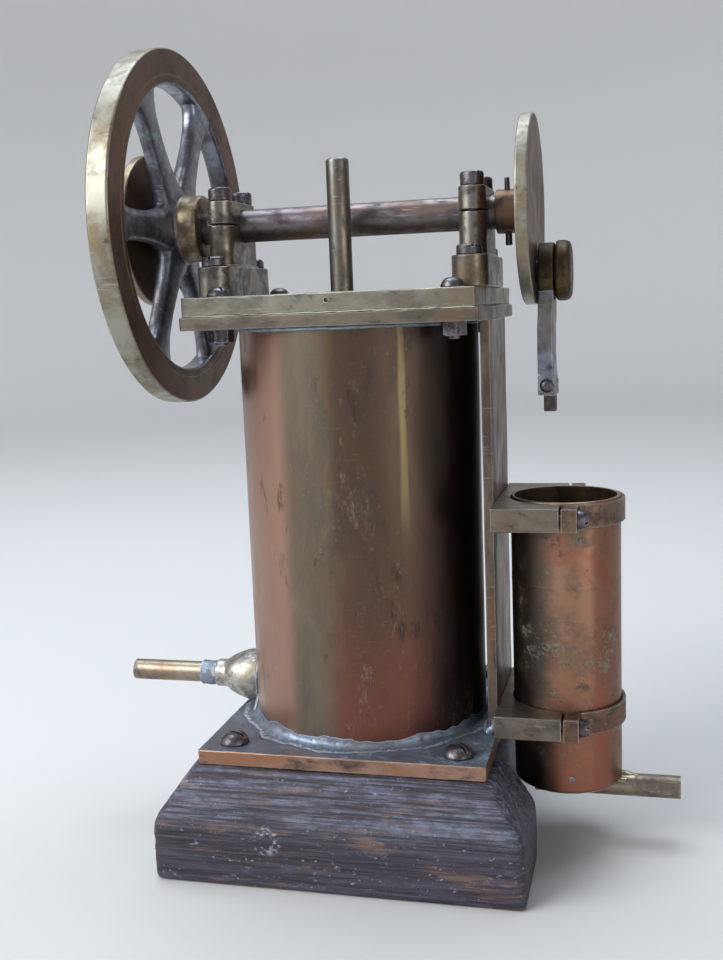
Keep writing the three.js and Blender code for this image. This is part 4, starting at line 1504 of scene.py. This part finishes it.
@dataclass
class Bearings:
    """Both bearings: foot, eared column, split cap and their screws."""

    foot_edge: float = 0.45
    ear_edge: float = 0.3
    split: float = 0.3
    running_gap: float = 0.25

    def build(self, shop: Workshop) -> None:
        """Build and dress both bearings."""
        shaft = Span.of("crankshaft")
        radius, axis_y, axis_z = shaft.size.z / 2, shaft.centre.y, shaft.centre.z
        for end in ("left", "right"):
            stand, cap = Span.of(f"pedestal_{end}"), Span.of(f"cap_{end}")
            bolt = Span.of(f"foot_bolt_{end}_front")
            x = stand.centre.x
            foot_top = bolt.high.z - 2.7
            ear = cap.size.x / 2
            journal = pin(radius + self.running_gap, -20, 20, 0.1, 80).along_x()
            journal.moved((x, axis_y, axis_z))
            foot = Shape.prism(
                stadium(stand.size.y / 2, stand.size.x / 2), stand.low.z, foot_top, self.foot_edge)
            column = Shape.prism(
                stadium(cap.size.y / 2, ear), foot_top - 1, axis_z - self.split / 2, self.ear_edge)
            waist = Shape.prism(
                stadium(cap.size.y / 2 + 0.5, ear + 0.5), foot_top - 0.8, foot_top + 0.5, 0.45)
            lower = foot.plus(waist, column).moved((x, axis_y, 0)).minus(journal)
            lower.fine(f"pedestal_{end}", Finish.BEARING, FRAME, 32)
            upper = Shape.prism(
                stadium(cap.size.y / 2, ear), cap.low.z, cap.high.z, self.ear_edge)
            upper.moved((x, axis_y, 0)).minus(journal).fine(
                f"cap_{end}", Finish.BEARING, FRAME, 32)
        self._fixings(shop)

    def _fixings(self, shop: Workshop) -> None:
        """Build the cap screws and the hold-down bolts."""
        names = [(end, side) for end in ("left", "right") for side in ("front", "rear")]
        caps = [f"cap_screw_{end}_{side}" for end, side in names]
        radius = Span.of(caps[0]).size.x / 2
        head = lathe([
            (0, -12), (1.4, -12), (1.4, 0, 0), (radius - 0.25, 0, 0.1), (radius, 0.3, 0.2),
            (radius, 3.1, 0.4), (radius - 0.5, 3.6, 0.3), (0, 3.55, 0)], 0.2, 4, 56,
            rough(0.12, 2.4, 6))
        shop.fixings("cap_screws", slotted(head, radius, 3.6, 0.9, 1.3), caps, 3.6, 21)
        bolts = [f"foot_bolt_{end}_{side}" for end, side in names]
        radius = Span.of(bolts[0]).size.x / 2
        head = lathe([
            (0, -14), (1.6, -14), (1.6, 0, 0), (radius - 0.2, 0, 0.1), (radius, 0.25, 0.2),
            (radius - 0.1, 2.2, 0.5), (radius - 0.9, 2.7, 0.5), (0, 2.65, 0)], 0.2, 4, 56,
            rough(0.1, 2.4, 2))
        shop.fixings("foot_bolts", slotted(head, radius, 2.7, 0.8, 0.9), bolts, 2.7, 31)


@dataclass
class Flywheel:
    """The six-spoke flywheel: a turned rim and a cast spider."""

    spokes: int = 6
    phase: float = math.radians(30)
    rim_inner: float = 38.2
    hub_radius: float = 9.0
    width: float = 6.2
    right_of_rim: float = 9.2
    groove_in: float = 2.6
    voxel: float = 0.5

    def build(self, shop: Workshop) -> None:
        """Build and dress the wheel."""
        span, shaft = Span.of("flywheel"), Span.of("crankshaft")
        radius = span.size.z / 2
        hub_left, hub_right = span.low.x, span.high.x
        middle_x = hub_right - self.right_of_rim
        centre = (middle_x, shaft.centre.y, shaft.centre.z)
        half = self.width / 2
        groove = self.rim_inner + self.groove_in
        rim = Shape.turned(softened([
            (self.rim_inner, -half + 0.5, 0.7), (self.rim_inner + 0.8, -half, 0.5),
            (radius - 0.5, -half, 0.3), (radius, -half + 0.5, 0.3), (radius, half - 0.5, 0.3),
            (radius - 0.5, half, 0.3), (groove + 0.3, half, 0.05), (groove, half - 0.18, 0.05),
            (groove - 0.3, half, 0.05), (self.rim_inner + 0.8, half, 0.5),
            (self.rim_inner, half - 0.5, 0.7)], 0.3, 4), 240, rough(0.06, 14, 3))
        axis = Vector(centre)
        rim.along_x().moved(centre).piece(
            "flywheel_rim", Finish.WHEEL, SHAFT, ["flywheel"],
            others=[
                (Finish.BAND, lambda middle, normal: (middle - axis).yz.length > radius - 0.35),
                (Finish.SPOKES, lambda middle, normal: (
                    (middle - axis).yz.length < self.rim_inner + 0.6))])
        spoke = self._spoke()
        arms = shop.repeats.set_out(
            spoke, [(0, 0, 0)] * self.spokes, Finish.SPOKES,
            step=FULL_TURN / self.spokes, start=self.phase)
        hub = pin(
            self.hub_radius, hub_left - middle_x + 0.2, hub_right - middle_x, 1.0, 80).along_x()
        bore = pin(shaft.size.z / 2 + 0.1, -20, 20, 0.1, 64).along_x()
        spider = Shape.together(arms, hub).cast(self.voxel, 5)
        trim = tube(radius + 20, self.rim_inner + 1.6, -12, 12, 0.1, 160).along_x()
        spider = spider.minus(trim, bore)
        spider.moved(centre).piece(
            "flywheel_spider", Finish.SPOKES, SHAFT, ["flywheel"], 60,
            others=[(Finish.HUB, lambda middle, normal: (
                (middle - axis).yz.length < self.hub_radius + 0.3 and middle.x > middle_x + 3.6))])

    def _spoke(self) -> Shape:
        """Make one spoke along +Z, flared into the hub and the rim."""
        hub, rim = self.hub_radius, self.rim_inner
        span = rim - hub
        stations = [
            (4.0, 6.6, 3.3), (hub, 6.4, 3.2), (hub + 0.12 * span, 5.3, 2.8),
            (hub + 0.3 * span, 4.3, 2.4), (hub + 0.55 * span, 3.9, 2.2),
            (hub + 0.78 * span, 4.1, 2.3), (rim - 2.6, 5.0, 2.6),
            (rim - 0.2, 6.8, 2.8), (rim + 1.4, 8.0, 2.8), (rim + 4, 8.2, 2.8)]
        squareness = 0.62

        def squared(value: float) -> float:
            """Push a sine or cosine out towards a square's outline."""
            return math.copysign(abs(value) ** squareness, value)

        angles = [FULL_TURN * step / 24 for step in range(24)]
        return Shape.loft([
            [Vector((thick * squared(math.cos(a)), wide * squared(math.sin(a)), z))
             for a in angles]
            for z, wide, thick in stations])


@dataclass
class ShaftLine:
    """The crankshaft, both discs, the pins and the knob on the crank pin."""

    disc: float = 3.1
    hub_wall: float = 1.24
    web: float = 1.2
    hole: float = 1.9
    taper_length: float = 17.2
    taper_lean: float = math.radians(8)

    def build(self) -> None:
        """Build and dress the shaft line."""
        shaft = Span.of("crankshaft")
        radius, y, z = shaft.size.z / 2, shaft.centre.y, shaft.centre.z
        pin(radius, 0, shaft.size.x, 0.5, 72).laid(shaft.low.x, y, z).fine(
            "crankshaft", Finish.SHAFT, SHAFT)
        left, disc = Span.of("left_disc"), Span.of("crank_disc")
        knob, crank = Span.of("pin_head"), Span.of("crank_pin")
        hole = pin(self.hole, -5, 8, 0.05, 32).laid(left.low.x, y, crank.centre.z)
        tap = pin(radius + 0.05, -5, 9, 0.05, 64).laid(left.low.x, y, z)
        plate = pin(left.size.z / 2, 0, left.size.x, 0.4, 144).along_x()
        plate.moved((left.low.x, y, z)).minus(hole, tap).fine(
            "left_disc", Finish.WHEEL, SHAFT,
            others=[(Finish.HUB, lambda middle, normal: math.hypot(
                middle.y - y, middle.z - z) > left.size.z / 2 - 0.5)])
        thick, web = self.disc, self.disc - self.web
        hub = disc.size.x - thick
        hub_radius = radius + self.hub_wall
        wheel = lathe([
            (radius + 0.04, -hub, 0), (hub_radius, -hub, 0.4), (hub_radius, -0.6, 0.4),
            (hub_radius + 0.9, 0, 0.3), (disc.size.z / 2, 0, 0.5),
            (disc.size.z / 2, thick, 0.5), (0, thick, 0), (0, web, 0),
            (radius + 0.04, web, 0)], 0.2, 4, 160, rough(0.05, 9, 4))
        rim = disc.size.z / 2 - 0.6
        wheel.laid(disc.high.x - thick, y, z).fine(
            "crank_disc", Finish.WHEEL, SHAFT,
            others=[(Finish.BAND, lambda middle, normal: math.hypot(
                middle.y - y, middle.z - z) > rim)])
        taper, end = Span.of("taper_pin"), self.taper_length / 2
        spike = lathe([
            (0, -end), (0.9, -end, 0.3), (0.65, end, 0.3), (0, end)], 0, 3, 24)
        spike.moved(taper.centre, Matrix.Rotation(self.taper_lean, 4, "X")).fine(
            "taper_pin", Finish.STEEL, SHAFT)
        stud = pin(crank.size.z / 2, 0, crank.size.x, 0.3, 48)
        stud.laid(crank.low.x, crank.centre.y, crank.centre.z).fine(
            "crank_pin", Finish.STEEL, SHAFT)
        out, big = knob.size.x, knob.size.z / 2
        head = lathe([
            (0, 0.02), (big - 0.4, 0, 0.2), (big, 0.4, 0.3), (big, out * 0.66, 0.9),
            (big * 0.9, out * 0.93, 1.0), (big * 0.6, out, 1.2), (0, out)], 0.3, 5, 80,
            rough(0.06, 5, 1))
        head.laid(knob.low.x, knob.centre.y, knob.centre.z).piece(
            "crank_knob", Finish.KNOB, SHAFT, ["pin_head"])


@dataclass
class Link:
    """The link that hangs on the crank pin, with the tongue behind its end."""

    eye_radius: float = 7.25
    thickness: float = 4.0
    gap: float = 0.6
    bow: float = 0.42
    block: float = 5.1
    depth: float = 12.0
    running_gap: float = 0.25

    def build(self) -> None:
        """Build and dress the link."""
        span, crank = Span.of("link"), Span.of("crank_pin")
        y, top = crank.centre.y, crank.centre.z
        x = Span.of("crank_disc").high.x + self.gap + self.thickness / 2
        length = top - span.low.z
        half = self.thickness / 2
        rings = []
        for step in range(25):
            t = step / 24
            drop = self.eye_radius * 0.5 + (length - self.eye_radius * 0.5) * t
            bend = -self.bow * math.sin(math.pi * min(1, t * 0.9)) ** 1.2
            swell = 0.25 * max(0.0, (t - 0.7) / 0.3)
            reach = self.depth / 2 * (0.86 + 0.14 * t)
            outline = oblong(half + swell, reach, 0.55, 3)
            rings.append([Vector((px + bend, py, -drop)) for px, py in outline])
        arm = Shape.loft(rings)
        eye = pin(self.eye_radius, -half, half, 0.6, 80).along_x()
        bore = pin(crank.size.z / 2 + self.running_gap, -9, 9, 0.1, 48).along_x()
        foot = self.block - length
        notch = slab((-9, -9, foot - 0.22), (-half + 0.15, 9, foot + 0.3), 0.05)
        whole = eye.plus(arm).minus(bore, notch)
        # Faces within the eye take the dark knob finish: a painted shadow from the disc and the
        # knob.
        whole.wandered(rough(0.1, 3.5, 7)).moved((x, y, top)).fine(
            "link", Finish.LINK, LINK, 40,
            others=[(Finish.KNOB, lambda middle, normal: math.hypot(
                middle.y - y, middle.z - top) < self.eye_radius + 0.2)])
        tongue = Span.of("link_tongue")
        slab(tongue.low, tongue.high, 0.35).fine("link_tongue", Finish.STEEL, LINK)
        rivet = Span.of("link_rivet")
        r = rivet.size.x / 2
        body = lathe([
            (0, 0), (r * 0.6, 0.05, 0.4), (r, 0.85, 0.1), (1.1, 0.85, 0),
            (1.1, rivet.size.y - 0.85, 0), (r, rivet.size.y - 0.85, 0.1),
            (r * 0.6, rivet.size.y - 0.05, 0.4), (0, rivet.size.y)], 0, 4, 40)
        body.moved((rivet.centre.x, rivet.low.y, rivet.centre.z),
                   Matrix.Rotation(-math.pi / 2, 4, "X")).fine("link_rivet", Finish.STEEL, LINK)


@dataclass
class SideBarrel:
    """The small barrel with its strip, clamps and outlet."""

    wall: float = 0.95
    split: float = 0.3
    lug: float = 4.2
    strap: float = 1.0

    def build(self, shop: Workshop) -> None:
        """Build and dress the barrel and what holds it."""
        barrel = Span.of("pump_barrel")
        radius = barrel.size.x / 2
        x, y = barrel.centre.x, barrel.centre.y
        low, high = barrel.low.z, barrel.high.z
        band = high - 22.5
        section = softened([
            (radius - self.wall, low, 0), (radius - 0.4, low, 0.4), (radius, low + 0.5, 0.4),
            (radius, band - 0.6, 0), (radius + 0.08, band, 0.4), (radius, band + 0.6, 0),
            (radius, high - 0.3, 0.25), (radius - 0.25, high, 0.25),
            (radius - self.wall, high, 0.2)], 0.2, 3)
        # The barrel's inner faces take the dark knob finish: painted shade inside the bore.
        Shape.turned(section, 160, rough(0.08, 17, 6)).moved((x, y, 0)).fine(
            "pump_barrel", Finish.BARREL, FRAME, 45,
            others=[(Finish.KNOB, lambda middle, normal: math.hypot(
                middle.x - x, middle.y - y) < radius - self.wall + 0.1)])
        pip = pin(0.75, -0.6, 0.55, 0.35, 24).moved(
            (x + 0.14 * radius, y - radius * 0.985, low + 4.2),
            Matrix.Rotation(math.pi / 2, 4, "X"))
        outlet = Span.of("outlet_tube")
        pipe = tube(outlet.size.y / 2, outlet.size.y / 2 - 0.85, 0, outlet.size.x + 0.6, 0.2, 48)
        pipe.laid(outlet.low.x, y, outlet.centre.z).fine("outlet_tube", Finish.PIPE, FRAME)
        ridge = outlet.high.z - 0.3
        saddle = [(x + radius - 2.4 + 0.9 * t, y, ridge + 0.55 - 0.16 * t) for t in range(8)]
        sides = [[(x + radius - 3 + t, y + side * 2.1, ridge - 0.5 - 0.12 * t) for t in range(5)]
                 for side in (FRONT, REAR)]
        Shape.together(
            shop.beads.along(saddle, 0.95, 0.9, False, 6),
            *[shop.beads.along(line, 0.9, 0.9, False, 3 + i) for i, line in enumerate(sides)]
        ).piece("outlet_solder", Finish.PIPE, FRAME)
        pip.piece("barrel_pip", Finish.SOLDER, FRAME)
        self._strip(shop)
        self._clamps(shop, x, y, radius)

    def _strip(self, shop: Workshop) -> None:
        """Build the upright strip and the solder at its foot."""
        strip = Span.of("side_strip")
        outline = spaced(oblong(strip.size.x / 2, strip.size.y / 2, 0.3), 2.5)
        count = 40
        rings = []
        wander = rough(0.16, 18, 4)
        for step in range(count + 1):
            z = strip.low.z + strip.size.z * step / count
            rings.append([wander(Vector((strip.centre.x + px, strip.centre.y + py, z)))
                          for px, py in outline])
        Shape.loft(rings).fine("side_strip", Finish.STRIP, FRAME)
        foot = strip.low.z + 0.5
        line = [(strip.low.x - 0.1, strip.low.y + 0.4 + strip.size.y * t / 30, foot)
                for t in range(30)]
        climb = ((-1.2, 0.2, 0.0), (-0.4, 0.3, 0.7), (0.5, 0.2, 1.2), (0.9, 0.0, 2.4),
                 (0.6, 0.1, 3.6))
        blob = [(strip.centre.x + dx, strip.low.y - 0.3 - dy, foot + dz)
                for dx, dy, dz in climb]
        Shape.together(
            shop.beads.along(line, 0.9, 1.3, False, 1),
            shop.beads.along(blob, 1.25, 1.6, False, 8)).fine(
            "strip_solder", Finish.SOLDER, FRAME, 70)

    def _clamps(self, shop: Workshop, x: float, y: float, radius: float) -> None:
        """Build both clamps: saddle, strap and screws."""
        seat = radius + 0.12
        nodes = []
        for level in ("upper", "lower"):
            saddle, strap = Span.of(f"saddle_{level}"), Span.of(f"strap_{level}")
            reach = x - saddle.low.x
            half = saddle.size.y / 2
            height = saddle.size.z
            arc = [(-seat * math.sin(a), seat * math.cos(a))
                   for a in [math.pi * (0.02 + 0.96 * i / 40) for i in range(41)]]
            corner = softened(
                [(-reach, half), (-reach, -half), (-self.split, -half)], 0.4, 3, closed=False)
            block = [*corner, (-self.split, -seat), *arc[::-1], (-self.split, seat),
                     (-self.split, half)]
            Shape.prism(self._tidy(block), 0, height, 0.4).moved((x, y, saddle.low.z)).fine(
                f"saddle_{level}", Finish.FLANGE, FRAME, 34)
            outer = seat + self.strap
            lug_y = outer + 0.2
            out_arc = [(outer * math.sin(a), -outer * math.cos(a))
                       for a in [math.pi * (0.1 + 0.8 * i / 48) for i in range(49)]]
            in_arc = [(seat * math.sin(a), seat * math.cos(a))
                      for a in [math.pi * (0.02 + 0.96 * i / 48) for i in range(49)]]
            band = [(self.split, -half), (self.lug, -half), (self.lug, -lug_y), *out_arc,
                    (self.lug, lug_y), (self.lug, half), (self.split, half), *in_arc]
            Shape.prism(self._tidy(band), 0, height, 0.3).moved((x, y, strap.low.z)).fine(
                f"strap_{level}", Finish.STRAP, FRAME, 34)
            nodes += [f"clamp_screw_{level}_front", f"clamp_screw_{level}_rear"]
        head_radius = Span.of(nodes[0]).size.z / 2
        head = lathe([
            (0, -12), (1.1, -12), (1.1, 0, 0), (head_radius + 0.3, 0, 0.1),
            (head_radius + 0.35, 0.4, 0.3), (head_radius, 1.9, 0.7), (head_radius * 0.6, 2.7, 0.6),
            (0, 2.7)], 0.2, 4, 48)
        shop.fixings("clamp_screws", slotted(head, head_radius, 2.7, 0.6, 0.9), nodes,
                     2.7, 41, (0, math.pi / 2, 0))

    @staticmethod
    def _tidy(points: Sequence[Point]) -> list[Point]:
        """Drop points that fall on their neighbour."""
        kept: list[Point] = []
        for point in points:
            if not kept or (Vector(point) - Vector(kept[-1])).length > 0.05:
                kept.append(point)
        return kept


@dataclass
class SlidingRod:
    """The upright rod."""

    def build(self) -> None:
        """Build and dress the rod."""
        span = Span.of("piston_rod")
        radius = span.size.x / 2
        rod = lathe([
            (0, 0), (radius, 0, 0.3), (radius, span.size.z - 0.5, 0.35),
            (radius - 0.55, span.size.z, 0.3), (0, span.size.z - 0.05)], 0, 4, 64)
        rod.moved((span.centre.x, span.centre.y, span.low.z)).fine("piston_rod", Finish.ROD, ROD)


# ---------------------------------------------------------------------- stage
@dataclass
class Stage:
    """The floor, the lights and the camera, in metres and degrees.

    Attributes:
        eye: The camera's place.
        yaw: Its turn to the left of +Y.
        pitch: Its turn upwards.
        roll: Its turn about its own axis.
        focal_share: Its focal length over the width of its sensor.
        sweep: Where the floor starts to rise.
        wall_out: How far out from there the wall's top is.
        wall_top: Its height.
        aim: What the lights face.
        lamps: Each light's name, place, size, power and tint.
        sky: The colour all round.
        sky_strength: Its strength.
    """

    eye: tuple[float, float, float] = (0.0774, -0.3055, 0.1466)
    yaw: float = 14.36
    pitch: float = -8.70
    roll: float = -2.21
    focal_share: float = 1.1890625
    sweep: float = 1.25
    wall_out: float = 1.15
    wall_top: float = 1.9
    aim: tuple[float, float, float] = (0, 0, 0.11)
    lamps: tuple[tuple[Any, ...], ...] = (
        ("key", (-0.85, -0.75, 0.75), (0.9, 0.9), 20, (0.95, 0.975, 1.0)),
        ("top", (-0.1, 0.25, 1.15), (1.0, 0.7), 13, (0.82, 0.91, 1.0)),
        ("fill", (0.95, -0.75, 0.25), (0.5, 0.6), 2.5, (1.0, 0.93, 0.88)))
    sky: Colour = (0.9, 0.93, 1.0)
    sky_strength: float = 0.24

    def camera(self) -> None:
        """Set the camera."""
        yaw, pitch, roll = (math.radians(a) for a in (self.yaw, self.pitch, self.roll))
        ahead = Vector((-math.sin(yaw) * math.cos(pitch), math.cos(yaw) * math.cos(pitch),
                        math.sin(pitch)))
        right = Vector((math.cos(yaw), math.sin(yaw), 0))
        up = right.cross(ahead)
        side = right * math.cos(roll) + up * math.sin(roll)
        top = up * math.cos(roll) - right * math.sin(roll)
        data = bpy.data.cameras.new("camera")
        data.sensor_width = 36
        data.lens = self.focal_share * data.sensor_width
        camera = bpy.data.objects.new("camera", data)
        turn = Matrix((side, top, -ahead)).transposed().to_4x4()
        camera.matrix_world = Matrix.Translation(self.eye) @ turn
        bpy.context.scene.collection.objects.link(camera)
        bpy.context.scene.camera = camera

    def light(self, name: str, place: Sequence[float], size: Sequence[float],
              power: float, tint: Colour) -> None:
        """Hang one soft light that faces the engine.

        Args:
            name: Its name.
            place: Its place in metres.
            size: Its width and height in metres.
            power: Its power in watts.
            tint: Its colour.
        """
        data = bpy.data.lights.new(name, "AREA")
        data.shape = "RECTANGLE"
        data.size, data.size_y = size
        data.energy = power
        data.color = tint
        lamp = bpy.data.objects.new(name, data)
        aim = Vector(self.aim) - Vector(place)
        lamp.location = place
        lamp.rotation_euler = aim.to_track_quat("-Z", "Y").to_euler()
        bpy.context.scene.collection.objects.link(lamp)

    def floor(self) -> None:
        """Lay the floor, which rises all round into a wall."""
        outline = [(0.02, 0.0), (0.4, 0.0), (self.sweep, 0.0)]
        for turn in (math.radians(5 * step) for step in range(1, 17)):
            outline.append((self.sweep + math.sin(turn), 1 - math.cos(turn)))
        outline.append((self.sweep + self.wall_out, self.wall_top))
        count = 96
        work = bmesh.new()
        rows = [[work.verts.new((out * math.cos(FULL_TURN * i / count),
                                 out * math.sin(FULL_TURN * i / count), up))
                 for i in range(count)] for out, up in outline]
        work.faces.new(rows[0])
        for inner, outer in zip(rows, rows[1:]):
            for i in range(count):
                k = (i + 1) % count
                work.faces.new([inner[i], outer[i], outer[k], inner[k]])
        mesh = bpy.data.meshes.new("floor")
        work.to_mesh(mesh)
        work.free()
        mesh.shade_smooth()
        mesh.materials.append(PaleFloor().build())
        floor = bpy.data.objects.new("floor", mesh)
        bpy.context.scene.collection.objects.link(floor)

    def build(self) -> None:
        """Lay the floor, hang the lights and set the world."""
        self.floor()
        for lamp in self.lamps:
            self.light(*lamp)
        world = bpy.data.worlds.new("studio")
        world.use_nodes = True
        ground = world.node_tree.nodes["Background"]
        ground.inputs[0].default_value = (*self.sky, 1)
        ground.inputs[1].default_value = self.sky_strength
        bpy.context.scene.world = world
        bpy.context.scene.view_settings.view_transform = "Standard"


def dress_inside(frame: dict[str, Any]) -> None:
    """Give the enclosed CAD nodes that still show their finishes."""
    inside = {"barrel_plug": Finish.PLATE, "displacer": Finish.TUBE,
              "displacer_nut": Finish.STEEL}
    for node, finish in inside.items():
        materials = frame["nodes"][node].data.materials
        materials.clear()
        materials.append(finish.material())
        LOG.info("%s: dressed", node)


def main() -> None:
    """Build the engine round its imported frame."""
    logging.basicConfig(level=logging.INFO, format="%(name)s: %(message)s")
    noise.seed_set(WANDER_SEED)
    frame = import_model()
    stage = Stage()
    stage.camera()
    shop = Workshop(Repeats(), Beads())
    Plinth().build()
    plates = Plates()
    plates.build()
    plates.fixings(shop)
    Cylinder().build(shop)
    Bearings().build(shop)
    Flywheel().build(shop)
    ShaftLine().build()
    Link().build()
    SideBarrel().build(shop)
    SlidingRod().build()
    dress_inside(frame)
    stage.build()


if __name__ == "__main__":
    main()
